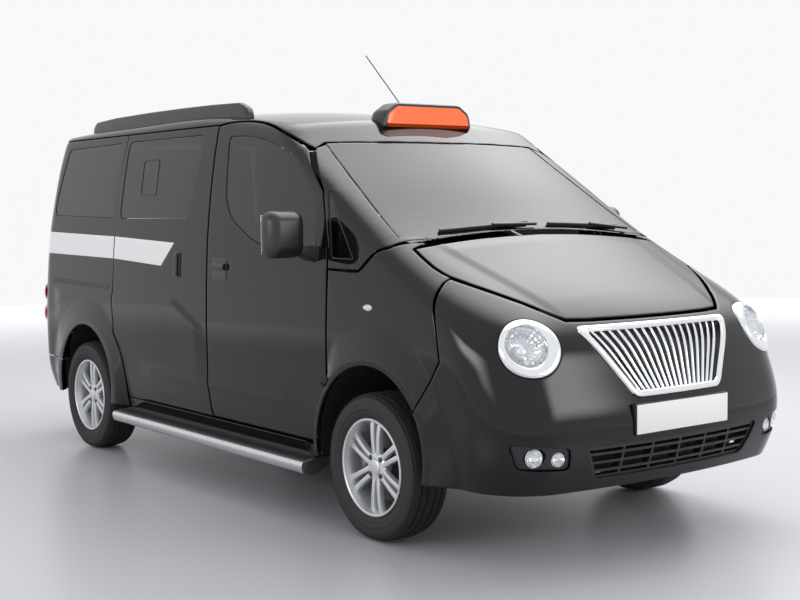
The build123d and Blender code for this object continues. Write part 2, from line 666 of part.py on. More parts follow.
add("floor_pan", floor)

# Tailgate with its pane and hinges
TAIL_NOTCH_BEHIND = 8
TAIL_NOTCH_BELOW = 12
tailgate = shell & end_prism(TAILGATE, -FAR, TAIL_CUT_X, gap=DOOR_GAP)
rear_opening = end_prism(TAILGATE_WINDOW, -FAR, TAIL_CUT_X)
tailgate = tailgate - rear_opening
tailgate_hinges = []
for y in (-TAILGATE_HINGE_Y, TAILGATE_HINGE_Y):
    x, z = TAILGATE_HINGE_X, TAILGATE_HINGE_Z
    notch = block(x - TAIL_NOTCH_BEHIND, TAIL_CUT_X, y - notch_half, y + notch_half,
                  z - TAIL_NOTCH_BELOW, TAILGATE_TOP_Z)
    tailgate = tailgate - notch - rod((x, y - pin_half - 1, z), (x, y + pin_half + 1, z), pin_hole)
    half, side = HINGE_LEAF / 2, HINGE_LEAF_HEIGHT / 2
    inner_x = x + TAILGATE_LEAF_REACH
    leaf = block(x, inner_x + half, y - side, y + side, z - half, z + half)
    leaf = leaf + (block(inner_x - half, inner_x + half, y - side, y + side, z - half, FAR) & cabin)
    tailgate_hinges.append(leaf + rod((x, y - pin_half, z), (x, y + pin_half, z), HINGE_PIN_RADIUS))
add("tailgate", tailgate)
add("tailgate_glass", pane_layer & rear_opening)
add("tailgate_hinges", *tailgate_hinges)

# Road wheels: rim, hub and paired spokes in one casting, with the tyre on it
SHOULDER = 28
BEAD_RADIUS = RIM_RADIUS - 10


def ring_of(profile, x, y):
    """Profile of (radius, y offset) points turned about a wheel axis."""
    face = outline(lambda r, offset_y: (x, y + offset_y, WHEEL_Z + r), profile)
    return revolve(face, axis=Axis((x, 0, WHEEL_Z), (0, 1, 0)))


def tyre_at(x, y):
    """Plain tyre with a flat tread and rounded shoulders."""
    half, seat = TYRE_WIDTH / 2, RIM_WIDTH / 2 - PIN_CLEARANCE
    profile = [
        (BEAD_RADIUS, -seat), (RIM_RADIUS + 1, -seat), Via((RIM_RADIUS + TYRE_RADIUS) / 2, -half - 1),
        (TYRE_RADIUS - SHOULDER, -half + 4),
        Via(TYRE_RADIUS - 6, -half + 12), (TYRE_RADIUS, -half + SHOULDER), (TYRE_RADIUS, half - SHOULDER),
        Via(TYRE_RADIUS - 6, half - 12), (TYRE_RADIUS - SHOULDER, half - 4),
        Via((RIM_RADIUS + TYRE_RADIUS) / 2, half + 1), (RIM_RADIUS + 1, seat), (BEAD_RADIUS, seat),
    ]
    return ring_of(profile, x, y)


SPOKE_WIDTH = 20
SPOKE_SPREAD = 30
SPOKE_DEPTH = 24
HUB_FACE = 58
HUB_BACK = 12
DISC_RADIUS = 125
DISC_WIDTH = 14
BARREL_WALL = 12
BARREL_DROP = 6
LIP_WIDTH = 6
LUG_HOLE_RADIUS = 9
LUG_HOLE_DEPTH = 14
STUB_HOLE = (-60, 40)


def wheel_at(x, y, side):
    """Alloy wheel facing outwards on one side."""
    half = RIM_WIDTH / 2
    seat, bore = BEAD_RADIUS - PIN_CLEARANCE, BEAD_RADIUS - BARREL_WALL
    section = [(seat, -half), (seat, half), (bore, half), (bore - BARREL_DROP, 0), (bore, -half)]
    barrel = ring_of(section, x, y)
    lips = [ring_of([(bore, a), (RIM_RADIUS, a), (RIM_RADIUS, b), (bore, b)], x, y)
            for a, b in ((-half - LIP_WIDTH, -half), (half, half + LIP_WIDTH))]
    face_y = y + side * HUB_FACE
    back_y = y - side * HUB_BACK
    hub = rod((x, back_y, WHEEL_Z), (x, face_y, WHEEL_Z), HUB_RADIUS)
    brake = rod((x, back_y, WHEEL_Z), (x, back_y + side * DISC_WIDTH, WHEEL_Z), DISC_RADIUS)
    spokes = []
    for pair in range(SPOKE_PAIRS):
        for offset_z in (-SPOKE_SPREAD / 2, SPOKE_SPREAD / 2):
            length = BEAD_RADIUS - BARREL_WALL + 2 - HUB_RADIUS / 2
            bar = Box(length, SPOKE_DEPTH, SPOKE_WIDTH)
            bar = Pos(HUB_RADIUS / 2 + length / 2, face_y - side * SPOKE_DEPTH / 2 - y, offset_z) * bar
            spokes.append(Pos(x, y, WHEEL_Z) * Rot(0, 360 / SPOKE_PAIRS * pair + 90, 0) * bar)
    wheel = barrel.fuse(*lips, hub, brake, *spokes)
    start, end = [(x, y + side * place, WHEEL_Z) for place in STUB_HOLE]
    wheel = wheel - rod(start, end, STUB_RADIUS + PIN_CLEARANCE)
    for lug in range(LUG_HOLES):
        angle = math.radians(360 / LUG_HOLES * lug + 45)
        lx, lz = x + LUG_CIRCLE_RADIUS * math.cos(angle), WHEEL_Z + LUG_CIRCLE_RADIUS * math.sin(angle)
        deep_y = face_y - side * LUG_HOLE_DEPTH
        wheel = wheel - rod((lx, deep_y, lz), (lx, face_y + side, lz), LUG_HOLE_RADIUS)
    return wheel


CORNERS = {"front_left": (FRONT_AXLE_X, 1), "front_right": (FRONT_AXLE_X, -1),
           "rear_left": (REAR_AXLE_X, 1), "rear_right": (REAR_AXLE_X, -1)}
for corner, (x, side) in CORNERS.items():
    add("wheel_" + corner, wheel_at(x, side * HALF_TRACK, side))
    add("tyre_" + corner, tyre_at(x, side * HALF_TRACK))

# Front suspension: crossmember, arms and studs, and the steering knuckles between them
STUD_LENGTH = 22
STUB_REACH = 35
ARM_GAP = 5
LOWER_ARM = 13
LOWER_ARM_RISE = 10
LOWER_BOSS = (22, 14)
UPPER_ARM = 15
UPPER_BOSS = (20, 12)
KNUCKLE = (56, 44)
RAIL_Y = (390, 450)
RAIL_Z = (300, 380)
CROSS_X = (1200, 1400)
CROSS_Z = (200, 300)
RADIATOR_X = (1880, 1920)
ball_low, ball_high = WHEEL_Z - BALL_HEIGHT, WHEEL_Z + BALL_HEIGHT
lower = block(*CROSS_X, -RAIL_Y[1], RAIL_Y[1], *CROSS_Z)
for rail in both_sides(block(BULKHEAD_X[1], RADIATOR_X[0], *RAIL_Y, *RAIL_Z)):
    lower = lower + rail
uppers = []
for side in (1, -1):
    x, y = FRONT_AXLE_X, side * KINGPIN_Y
    radius, half = LOWER_BOSS
    lower = lower + rod((x, side * (RAIL_Y[1] - 20), ball_low + LOWER_ARM_RISE), (x, y, ball_low), LOWER_ARM)
    lower = lower + rod((x, y, ball_low - half), (x, y, ball_low + half), radius)
    lower = lower + rod((x, y, ball_low), (x, y, ball_low + half + ARM_GAP + STUD_LENGTH), KINGPIN_RADIUS)
    radius, half = UPPER_BOSS
    upper = rod((x, side * FRONT_WELL_Y, ball_high), (x, y, ball_high), UPPER_ARM)
    upper = upper + rod((x, y, ball_high - half), (x, y, ball_high + half), radius)
    upper = upper + rod((x, y, ball_high), (x, y, ball_high - half - ARM_GAP - STUD_LENGTH), KINGPIN_RADIUS)
    uppers.append(upper)
add("front_subframe", lower, *uppers)
foot, head = ball_low + LOWER_BOSS[1] + ARM_GAP, ball_high - UPPER_BOSS[1] - ARM_GAP
for label, side in (("left", 1), ("right", -1)):
    x, y = FRONT_AXLE_X, side * KINGPIN_Y
    knuckle = Pos(x, y, (foot + head) / 2) * Box(*KNUCKLE, head - foot)
    knuckle = knuckle + rod((x, y, WHEEL_Z), (x, side * (HALF_TRACK + STUB_REACH), WHEEL_Z), STUB_RADIUS)
    for start, end in ((foot - 1, foot + STUD_LENGTH + 1), (head - STUD_LENGTH - 1, head + 1)):
        knuckle = knuckle - rod((x, y, start), (x, y, end), KINGPIN_RADIUS + PIN_CLEARANCE)
    add("knuckle_" + label, knuckle)

# Radiator, and the engine and gearbox as one block
RADIATOR_Z = (340, 870)
ENGINE_X = (1240, 1790)
ENGINE_HALF_WIDTH = 370
ENGINE_TOP = 850
add("radiator", block(*RADIATOR_X, -RAIL_Y[1], RAIL_Y[1], *RADIATOR_Z))
add("engine_block", block(*ENGINE_X, -ENGINE_HALF_WIDTH, ENGINE_HALF_WIDTH, CROSS_Z[1], ENGINE_TOP))

# Rear beam axle on leaf springs
SPRING_Y = (470, 530)
SPRING_LEAF = 14
SPRING_ENDS = (-1990, -1180)
SPRING_RISE = 20
SPRING_BOW = 4
HANGER = 40
BEAM_HALF = HALF_TRACK - 40
STUB_HALF = HALF_TRACK + STUB_REACH
spring_z = WHEEL_Z - BEAM_RADIUS - SPRING_LEAF
axle = rod((REAR_AXLE_X, -BEAM_HALF, WHEEL_Z), (REAR_AXLE_X, BEAM_HALF, WHEEL_Z), BEAM_RADIUS)
axle = axle + rod((REAR_AXLE_X, -STUB_HALF, WHEEL_Z), (REAR_AXLE_X, STUB_HALF, WHEEL_Z), STUB_RADIUS)
end_z = spring_z + SPRING_RISE
spring = side_prism([
    (SPRING_ENDS[0], end_z), Via(REAR_AXLE_X, spring_z - SPRING_BOW), (SPRING_ENDS[1], end_z),
    (SPRING_ENDS[1], end_z + SPRING_LEAF), Via(REAR_AXLE_X, spring_z + SPRING_LEAF + SPRING_BOW),
    (SPRING_ENDS[0], end_z + SPRING_LEAF),
], *SPRING_Y)
hangers = [block(x, x + HANGER, *SPRING_Y, end_z + 2, REAR_FLOOR_Z)
           for x in (SPRING_ENDS[0], SPRING_ENDS[1] - HANGER)]
for left in (spring, *hangers):
    for piece in both_sides(left):
        axle = axle + piece
add("rear_axle", axle)

# Fuel tank and silencer under the floor
TANK_X = (-900, -250)
TANK_Y = (-420, 60)
TANK_DEPTH = 85
EXHAUST_Y = 320
EXHAUST_Z = FLOOR_Z - 60
SILENCER_X = (-900, -420)
SILENCER_RADIUS = 60
PIPE_END_X = 820
PIPE_RADIUS = 24
HOOK_X = (-200, 600)
HOOK = (12, 20)
tank = block(*TANK_X, *TANK_Y, FLOOR_Z - TANK_DEPTH, FLOOR_Z)
start, middle, end = [(x, EXHAUST_Y, EXHAUST_Z) for x in (*SILENCER_X, PIPE_END_X)]
hook_z = (EXHAUST_Z + FLOOR_Z) / 2
hooks = [Pos(x, EXHAUST_Y, hook_z) * Box(*HOOK, FLOOR_Z - EXHAUST_Z) for x in HOOK_X]
exhaust = rod(start, middle, SILENCER_RADIUS).fuse(rod(middle, end, PIPE_RADIUS), *hooks)
add("underbody", tank, exhaust)

# Side steps below the sills
STEP_X = (-960, 900)
STEP = [(735, FLOOR_Z), (800, FLOOR_Z), (900, 270), Via(906, 248), (894, 222), (850, 208), (735, 250)]
step = Solid.extrude(outline(lambda y, z: (STEP_X[0], y, z), STEP), Vector(STEP_X[1] - STEP_X[0], 0, 0))
add("side_steps", *both_sides(step))

# Door mirrors
MIRROR_CENTRE = (865, 957, 1240)
MIRROR_SIZE = (112, 186, 204)
MIRROR_ROUND = 38
head = Box(*MIRROR_SIZE)
head = Pos(*MIRROR_CENTRE) * fillet(head.edges(), MIRROR_ROUND)
MIRROR_ARM = [(800, 1125), (905, 1125), (890, 1190), (815, 1190)]
MIRROR_ARM_Y = (700, 917)
arm = side_prism(MIRROR_ARM, *MIRROR_ARM_Y) - outer
mirror_piece = head + arm
add("mirror_left", mirror_piece)
add("mirror_right", mirror_piece.mirror(Plane.XZ))

# Roof rails, sign and aerial
ROOF_RAIL = [
    (-1690, 1780), (-1690, 1826), (-1640, 1858), Via(-800, 1872), (-30, 1862), (60, 1826), (60, 1780),
]
ROOF_RAIL_Y = (602, 640)
rail = side_prism(ROOF_RAIL, *ROOF_RAIL_Y) - outer
add("roof_rails", *both_sides(rail))
SIGN_X = (520, 650)
SIGN = mirrored([(258, 1720), (250, 1790), (190, 1834)])
SIGN_RIM = 14
SIGN_LENS = 8
sign = end_prism(SIGN, *SIGN_X) - outer
lens_face = end_prism(SIGN, SIGN_X[1] - SIGN_LENS, SIGN_X[1], gap=SIGN_RIM) - outer
sign = max((sign - lens_face).solids(), key=lambda solid: solid.volume)
add("roof_sign", sign)
add("sign_lens", max(lens_face.solids(), key=lambda solid: solid.volume))
AERIAL_FOOT = (500, 0, 1780)
AERIAL_TIP = (149, 0, 2105)
AERIAL_RADIUS = 3
AERIAL_BASE = ((500, 0, 1700), (480, 0, 1815), 14)
aerial = rod(AERIAL_FOOT, AERIAL_TIP, AERIAL_RADIUS) + rod(*AERIAL_BASE)
add("aerial", aerial - outer)

# Dashboard and steering wheel
DASH = [
    (BULKHEAD_X[0], 820), (BULKHEAD_X[0], 1085), (950, 1075), Via(895, 1055), (880, 1005),
    (900, 880), (960, 820),
]
dash = side_prism(DASH, -POST_Y, POST_Y)
add("dashboard", dash)
DRIVER_Y = -370
wheel_middle = Vector(760, DRIVER_Y, 1010)
column_axis = Vector(0.9, 0, -0.44).normalized()
wheel_plane = Plane(origin=wheel_middle, z_dir=column_axis)
STEERING_RADIUS = 182
STEERING_RIM = 15
COLUMN = (300, 28)
STEERING_ARM = (180, 30, 16)
rim = wheel_plane * Torus(STEERING_RADIUS, STEERING_RIM)
column = rod(wheel_middle, wheel_middle + column_axis * COLUMN[0], COLUMN[1]) - dash
arm_at = Pos(STEERING_RADIUS / 2 + 4, 0, 0)
arms = [wheel_plane * Rot(0, 0, angle) * arm_at * Box(*STEERING_ARM) for angle in (0, 180, 270)]
add("steering_wheel", rim.fuse(column, *arms))

# Seats: two in front and a bench behind
SEAT_HALF_WIDTH = 245
SEAT = [
    (-40, SEAT_FLOOR_Z), (400, SEAT_FLOOR_Z), (400, 540), (455, 600), Via(470, 670), (420, 700), (90, 670),
    (-110, 1260), Via(-170, 1290), (-225, 1245), (-70, 600), (-40, 540),
]
seats = [side_prism(SEAT, y - SEAT_HALF_WIDTH, y + SEAT_HALF_WIDTH) for y in (DRIVER_Y, -DRIVER_Y)]
add("front_seats", *seats)
BENCH_HALF_WIDTH = 530
BENCH = [
    (RISER[1], SEAT_FLOOR_Z), (-700, SEAT_FLOOR_Z), (-700, 560), (-650, 620), Via(-640, 690), (-690, 715),
    (-1010, 690), (-1190, 1240), Via(-1245, 1275), (-1300, 1235), (-1150, 620), (RISER[1], 560),
]
add("rear_bench", side_prism(BENCH, -BENCH_HALF_WIDTH, BENCH_HALF_WIDTH))

os.makedirs("parts", exist_ok=True)
for name, solids in PARTS.items():
    piece = solids[0] if len(solids) == 1 else Compound(children=solids)
    export_step(piece, "parts/" + name + ".step")
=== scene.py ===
import bpy
import math
import numpy as np
from mathutils import Matrix, Vector
from mathutils.geometry import delaunay_2d_cdt


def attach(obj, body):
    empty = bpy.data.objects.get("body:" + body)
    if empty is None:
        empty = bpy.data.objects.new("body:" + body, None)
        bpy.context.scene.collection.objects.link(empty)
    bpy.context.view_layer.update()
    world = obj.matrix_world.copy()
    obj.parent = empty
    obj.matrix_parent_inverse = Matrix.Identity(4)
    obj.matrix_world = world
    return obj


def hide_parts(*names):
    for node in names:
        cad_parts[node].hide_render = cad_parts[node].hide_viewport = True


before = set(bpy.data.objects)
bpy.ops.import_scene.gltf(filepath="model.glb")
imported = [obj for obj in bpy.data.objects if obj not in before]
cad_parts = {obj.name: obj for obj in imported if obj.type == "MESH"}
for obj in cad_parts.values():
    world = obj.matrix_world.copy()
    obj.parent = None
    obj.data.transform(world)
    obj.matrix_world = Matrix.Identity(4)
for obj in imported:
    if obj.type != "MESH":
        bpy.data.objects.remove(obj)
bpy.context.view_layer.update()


# Chassis steel: floor pan, posts, bulkhead, subframe, axle and tank are pressed and welded steel,
# dipped in a dull black underbody paint that picks up a little road dust.
def added(tree, kind, operation=None, **values):
    """New node in a tree, with its operation and the values of its named inputs."""
    node = tree.nodes.new(kind)
    if operation:
        node.operation = operation
    for socket_name, value in values.items():
        node.inputs[socket_name.replace("_", " ")].default_value = value
    return node


def wire(tree, *links):
    """Join sockets in a tree, each link given as node, output, node, input."""
    for source, output, target, entry in links:
        tree.links.new(source.outputs[output], target.inputs[entry])


wear_group = bpy.data.node_groups.new("uneven_finish", "ShaderNodeTree")
for name, way, kind in (("Scale", "INPUT", "Float"), ("Dark", "INPUT", "Color"), ("Light", "INPUT", "Color"),
                        ("Smooth", "INPUT", "Float"), ("Rough", "INPUT", "Float"),
                        ("Color", "OUTPUT", "Color"), ("Roughness", "OUTPUT", "Float"),
                        ("Height", "OUTPUT", "Float")):
    wear_group.interface.new_socket(name, in_out=way, socket_type="NodeSocket" + kind)
group_in, group_out = added(wear_group, "NodeGroupInput"), added(wear_group, "NodeGroupOutput")
place_node = added(wear_group, "ShaderNodeTexCoord")
noise_node = added(wear_group, "ShaderNodeTexNoise", Detail=5.0)
colour_mix = added(wear_group, "ShaderNodeMix")
colour_mix.data_type = "RGBA"
rough_mix = added(wear_group, "ShaderNodeMapRange")
wire(wear_group, (place_node, "Object", noise_node, "Vector"), (group_in, "Scale", noise_node, "Scale"),
     (noise_node, "Fac", colour_mix, "Factor"), (group_in, "Dark", colour_mix, "A"),
     (group_in, "Light", colour_mix, "B"), (noise_node, "Fac", rough_mix, "Value"),
     (group_in, "Smooth", rough_mix, "To Min"), (group_in, "Rough", rough_mix, "To Max"),
     (colour_mix, "Result", group_out, "Color"), (rough_mix, "Result", group_out, "Roughness"),
     (noise_node, "Fac", group_out, "Height"))
RELIEF_DEPTH = 0.002


def finish(name, dark, light, smooth, rough, scale, bump=0.0, **sockets):
    """Principled material whose colour, roughness and relief vary through the shared group."""
    material = bpy.data.materials.new(name)
    material.use_nodes = True
    tree = material.node_tree
    shader = tree.nodes["Principled BSDF"]
    vary = added(tree, "ShaderNodeGroup")
    vary.node_tree = wear_group
    for socket_name, value in (("Scale", scale), ("Dark", (*dark, 1.0)), ("Light", (*light, 1.0)),
                               ("Smooth", smooth), ("Rough", rough)):
        vary.inputs[socket_name].default_value = value
    wire(tree, (vary, "Color", shader, "Base Color"), (vary, "Roughness", shader, "Roughness"))
    if bump:
        relief = added(tree, "ShaderNodeBump", Strength=bump, Distance=RELIEF_DEPTH)
        wire(tree, (vary, "Height", relief, "Height"), (relief, "Normal", shader, "Normal"))
    for socket_name, value in sockets.items():
        shader.inputs[socket_name.replace("_", " ")].default_value = value
    return material


def dress(material, *nodes):
    """Give the objects of CAD nodes one material."""
    for node in nodes:
        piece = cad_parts[node]
        piece.data.materials.clear()
        piece.data.materials.append(material)


underbody_paint = finish("underbody_paint", (0.012, 0.012, 0.013), (0.035, 0.034, 0.033), 0.45, 0.75, 9.0,
                         0.25)
dress(underbody_paint, "floor_pan", "hinge_posts", "b_posts", "bulkhead", "tailgate_hinges", "front_subframe",
      "knuckle_left", "knuckle_right", "rear_axle", "underbody", "radiator")
engine_casting = finish("engine_casting", (0.16, 0.16, 0.165), (0.30, 0.30, 0.31), 0.4, 0.7, 40.0, 0.4,
                        Metallic=0.8)
dress(engine_casting, "engine_block")

# Body shape: the pressed steel skin of the whole van, known from its plan outlines at rising heights
# and from the roof's cross sections. Every panel below is a piece of this one skin.
SECTION_Z = np.array([0.285, 0.4, 0.55, 0.74, 0.917, 1.06, 1.215, 1.42, 1.63, 1.74, 1.9])
HALF_WIDTH = np.array([0.788, 0.814, 0.825, 0.828, 0.824, 0.818, 0.808, 0.785, 0.752, 0.728, 0.684])
FRONT = np.array([2.15, 2.194, 2.208, 2.15, 2.035, 1.765, 1.44, 1.11, 0.79, 0.625, 0.385])
FRONT_R = np.array([3.6, 3.6, 3.7, 3.8, 3.8, 3.2, 2.8, 2.3, 2.0, 2.0, 2.0])
FRONT_CORNER = np.array([0.26, 0.27, 0.28, 0.29, 0.3, 0.28, 0.2, 0.13, 0.11, 0.11, 0.11])
BACK = np.array([-2.15, -2.195, -2.208, -2.203, -2.192, -2.18, -2.162, -2.125, -2.082, -2.052, -2.0])
BACK_R = 4.5
BACK_CORNER = np.array([0.15, 0.17, 0.18, 0.18, 0.18, 0.18, 0.18, 0.18, 0.18, 0.18, 0.18])
CROWN_X = np.array([-2.5, -1.7, -0.9, -0.1, 0.7, 1.5, 2.3])
CROWN_Z = np.array([1.795, 1.83, 1.842, 1.836, 1.738, 1.56, 1.31])
CROWN_DROP = 0.042
CROWN_FLAT = 0.65
SHOULDER = 0.11
SHOULDER_LEAN = 0.142
ROOF_BLEND = 0.018


def smooth_curve(knots, values):
    """Natural cubic through the knots."""
    steps = np.diff(knots)
    size = len(knots)
    matrix, right = np.eye(size), np.zeros(size)
    for i in range(1, size - 1):
        matrix[i, i - 1:i + 2] = steps[i - 1], 2 * (steps[i - 1] + steps[i]), steps[i]
        right[i] = 6 * ((values[i + 1] - values[i]) / steps[i] - (values[i] - values[i - 1]) / steps[i - 1])
    bend = np.linalg.solve(matrix, right)

    def value(at):
        at = np.clip(at, knots[0], knots[-1])
        i = np.clip(np.searchsorted(knots, at) - 1, 0, size - 2)
        a, b = knots[i + 1] - at, at - knots[i]
        return ((bend[i] * a ** 3 + bend[i + 1] * b ** 3) / (6 * steps[i])
                + (values[i] / steps[i] - bend[i] * steps[i] / 6) * a
                + (values[i + 1] / steps[i] - bend[i + 1] * steps[i] / 6) * b)
    return value


half_width_at = smooth_curve(SECTION_Z, HALF_WIDTH)
front_at = smooth_curve(SECTION_Z, FRONT)
front_r_at = smooth_curve(SECTION_Z, FRONT_R)
front_corner_at = smooth_curve(SECTION_Z, FRONT_CORNER)
back_at = smooth_curve(SECTION_Z, BACK)
back_corner_at = smooth_curve(SECTION_Z, BACK_CORNER)
crown_at = smooth_curve(CROWN_X, CROWN_Z)


def outside_wall(x, y, z):
    """Distance outside the plan outline at a height, negative inside."""
    y = np.abs(y)
    half = half_width_at(z)
    radius, corner = front_r_at(z), front_corner_at(z)
    middle = front_at(z) - radius
    kx = middle + np.sqrt((radius - corner) ** 2 - (half - corner) ** 2)
    ky = half - corner
    corner_b = back_corner_at(z)
    middle_b = back_at(z) + BACK_R
    qx = middle_b - np.sqrt((BACK_R - corner_b) ** 2 - (half - corner_b) ** 2)
    qy = half - corner_b
    far = np.maximum(np.hypot(x - middle, y) - radius, np.hypot(x - middle_b, y) - BACK_R)
    far = np.maximum(far, y - half)
    vx, vy = x - kx, y - ky
    in_front = (vx > 0) & ((kx - middle) * vy - ky * vx > 0)
    far = np.where(in_front, np.hypot(vx, vy) - corner, far)
    wx, wy = qx - x, y - qy
    in_back = (wx > 0) & ((middle_b - qx) * wy - qy * wx > 0)
    return np.where(in_back, np.hypot(wx, wy) - corner_b, far)


def outside_roof(x, y, z):
    """Distance above the roof's cross section, negative below it."""
    y = np.abs(y)
    top = crown_at(x)
    shoulder = top - CROWN_DROP
    crown = z - (top - CROWN_DROP * (y / CROWN_FLAT) ** 2)
    rise = z - (shoulder - SHOULDER)
    edge = np.where(rise > 0, np.hypot(y - CROWN_FLAT, rise) - SHOULDER,
                    y - CROWN_FLAT - SHOULDER + SHOULDER_LEAN * rise)
    return np.where(y > CROWN_FLAT, edge, crown)


def outside_body(x, y, z):
    """Distance outside the skin, with the roof's edge rounded off."""
    a, b = outside_wall(x, y, z), outside_roof(x, y, z)
    h = np.clip(0.5 + 0.5 * (a - b) / ROOF_BLEND, 0, 1)
    return b * (1 - h) + a * h + ROOF_BLEND * h * (1 - h)


def cast(origin, direction, reach):
    """Points where rays from inside the body leave its skin."""
    near = np.zeros(origin.shape[0])
    far = np.full(origin.shape[0], reach)
    for _ in range(44):
        middle = (near + far) / 2
        spot = origin + direction * middle[:, None]
        out = outside_body(spot[:, 0], spot[:, 1], spot[:, 2]) > 0
        far = np.where(out, middle, far)
        near = np.where(out, near, middle)
    return origin + direction * ((near + far) / 2)[:, None]


SIDE_FROM = 0.6
ARCHES = ((1.296, 0.365), (-1.433, 0.35))
ARCH_Z = 0.35
FLARE_Y = 0.847
FLARE_LIP = 0.032
FLARE_WIDTH = 0.155
FLARE_NARROW = 0.045
NARROW_FROM, NARROW_OVER = 118, 22


def flared(found):
    """Skin pushed out round the wheel arches, narrowly behind the front one where the door begins."""
    for arch_x, radius in ARCHES:
        dx, dz = found[:, 0] - arch_x, found[:, 2] - ARCH_Z
        turn = np.degrees(np.arctan2(dz, dx))
        narrow = np.clip((np.where(arch_x > 0, turn, 0) - NARROW_FROM) / NARROW_OVER, 0, 1)
        width = FLARE_WIDTH + (FLARE_NARROW - FLARE_WIDTH) * narrow
        fade = np.clip(1 - (np.hypot(dx, dz) - radius - FLARE_LIP) / (width - FLARE_LIP), 0, 1)
        y = np.abs(found[:, 1])
        push = np.where(y > SIDE_FROM, np.maximum(FLARE_Y - y, 0) * fade, 0)
        found[:, 1] += np.sign(found[:, 1]) * push
    return found


CREASE_Z, CREASE_X, CREASE_RISE = 0.503, (-0.80, 0.80), 0.007
CREASE_ABOVE, CREASE_BELOW = 0.15, 0.035
CREASE_END, SWAGE_X, SWAGE_END = 0.15, (-1.9, -0.06), 0.1
SWAGE_LINE = np.array([(-2.0, 0.90), (-1.1, 0.90), (-0.40, 0.905), (-0.13, 0.79), (0.0, 0.73)])
SWAGE_RISE, SWAGE_STEP, SWAGE_FADE = 0.010, 0.022, 0.34


def creased(found):
    """Skin with its two pressed lines: a low crease along the doors and a swage over the sliding door."""
    x, z = found[:, 0], found[:, 2]
    ends = np.clip(np.minimum(x - CREASE_X[0], CREASE_X[1] - x) / CREASE_END, 0, 1)
    above = np.clip(1 - (z - CREASE_Z) / CREASE_ABOVE, 0, 1)
    below = np.clip(1 - (CREASE_Z - z) / CREASE_BELOW, 0, 1)
    crease = CREASE_RISE * np.where(z > CREASE_Z, above ** 2, below) * ends
    under = np.interp(x, *SWAGE_LINE.T) - z
    ends = np.clip(np.minimum(x - SWAGE_X[0], SWAGE_X[1] - x) / SWAGE_END, 0, 1)
    swage = SWAGE_RISE * np.clip(under / SWAGE_STEP, 0, 1) * np.clip(1 - under / SWAGE_FADE, 0, 1) * ends
    found[:, 1] += np.sign(found[:, 1]) * np.where(np.abs(found[:, 1]) > SIDE_FROM, crease + swage, 0)
    return found


def seen_along(axes, start, direction, reach):
    """Finder of the skin along parallel rays, for points given on two axes."""
    def place(points):
        points = np.asarray(points, float)
        origin = np.full((len(points), 3), start)
        origin[:, axes] = points
        return cast(origin, np.tile(np.array(direction, float), (len(points), 1)), reach)
    return place


bare_side = seen_along([0, 2], 0.05, (0, 1, 0), 0.95)
on_front = seen_along([1, 2], 0.2, (1, 0, 0), 2.2)
on_back = seen_along([1, 2], -1.0, (-1, 0, 0), 1.5)
on_top = seen_along([0, 1], 0.6, (0, 0, 1), 1.4)


def on_side_plain(points):
    """Left side skin at (x, z) points, without the arch flares."""
    return creased(bare_side(points))


def on_side(points):
    """Left side skin at (x, z) points."""
    return flared(on_side_plain(points))


class Around:
    """Skin met by level rays from an upright line, at (bearing, z) points scaled to metres.
    Bearings start from the front, or from the back where facing is -1."""

    def __init__(self, x, y, scale, facing=1):
        self.x, self.y, self.scale, self.facing = x, y, scale, facing

    def __call__(self, points):
        points = np.asarray(points, float)
        bearing = points[:, 0] / self.scale
        origin = np.column_stack([np.full(len(points), self.x), np.full(len(points), self.y), points[:, 1]])
        direction = np.column_stack([self.facing * np.cos(bearing), np.sin(bearing), np.zeros(len(points))])
        return flared(creased(cast(origin, direction, 1.6)))

    def flat(self, spots):
        """The (bearing, z) points of places on the skin."""
        spots = np.asarray(spots, float)
        bearing = np.arctan2(spots[:, 1] - self.y, self.facing * (spots[:, 0] - self.x))
        return np.column_stack([bearing * self.scale, spots[:, 2]])


class Over:
    """Roof skin met by rays that fan out from a level line along the car, at (x, angle) points."""

    def __init__(self, z, scale):
        self.z, self.scale = z, scale

    def __call__(self, points):
        points = np.asarray(points, float)
        angle = points[:, 1] / self.scale
        origin = np.column_stack([points[:, 0], np.zeros(len(points)), np.full(len(points), self.z)])
        direction = np.column_stack([np.zeros(len(points)), np.sin(angle), np.cos(angle)])
        return flared(cast(origin, direction, 1.4))

    def flat(self, spots):
        """The (x, angle) points of places on the skin."""
        spots = np.asarray(spots, float)
        return np.column_stack([spots[:, 0], np.arctan2(spots[:, 1], spots[:, 2] - self.z) * self.scale])


def loop(items, step=0.02):
    """Evenly divided closed outline through the points."""
    points, out = np.array(items, float), []
    for a, b in zip(points, np.roll(points, -1, axis=0)):
        count = max(2, int(np.hypot(*(b - a)) / step) + 1)
        share = np.arange(count)[:, None] / count
        out.append(a + (b - a) * share)
    return np.vstack(out)


def rounded(items, radius, steps=5):
    """Outline with its corners cut to arcs."""
    points = [np.array(item[:2], float) for item in items]
    out = []
    for i, corner in enumerate(points):
        before, after = points[i - 1] - corner, points[(i + 1) % len(points)] - corner
        cut = min(radius, 0.45 * np.hypot(*before), 0.45 * np.hypot(*after))
        start, end = corner + before / np.hypot(*before) * cut, corner + after / np.hypot(*after) * cut
        for k in range(steps + 1):
            t = k / steps
            out.append(tuple((1 - t) ** 2 * start + 2 * t * (1 - t) * corner + t * t * end))
    return out


def signed_area(ring):
    """Twice an outline's area, positive where it runs anticlockwise."""
    return np.sum(ring[:, 0] * np.roll(ring[:, 1], -1) - np.roll(ring[:, 0], -1) * ring[:, 1])


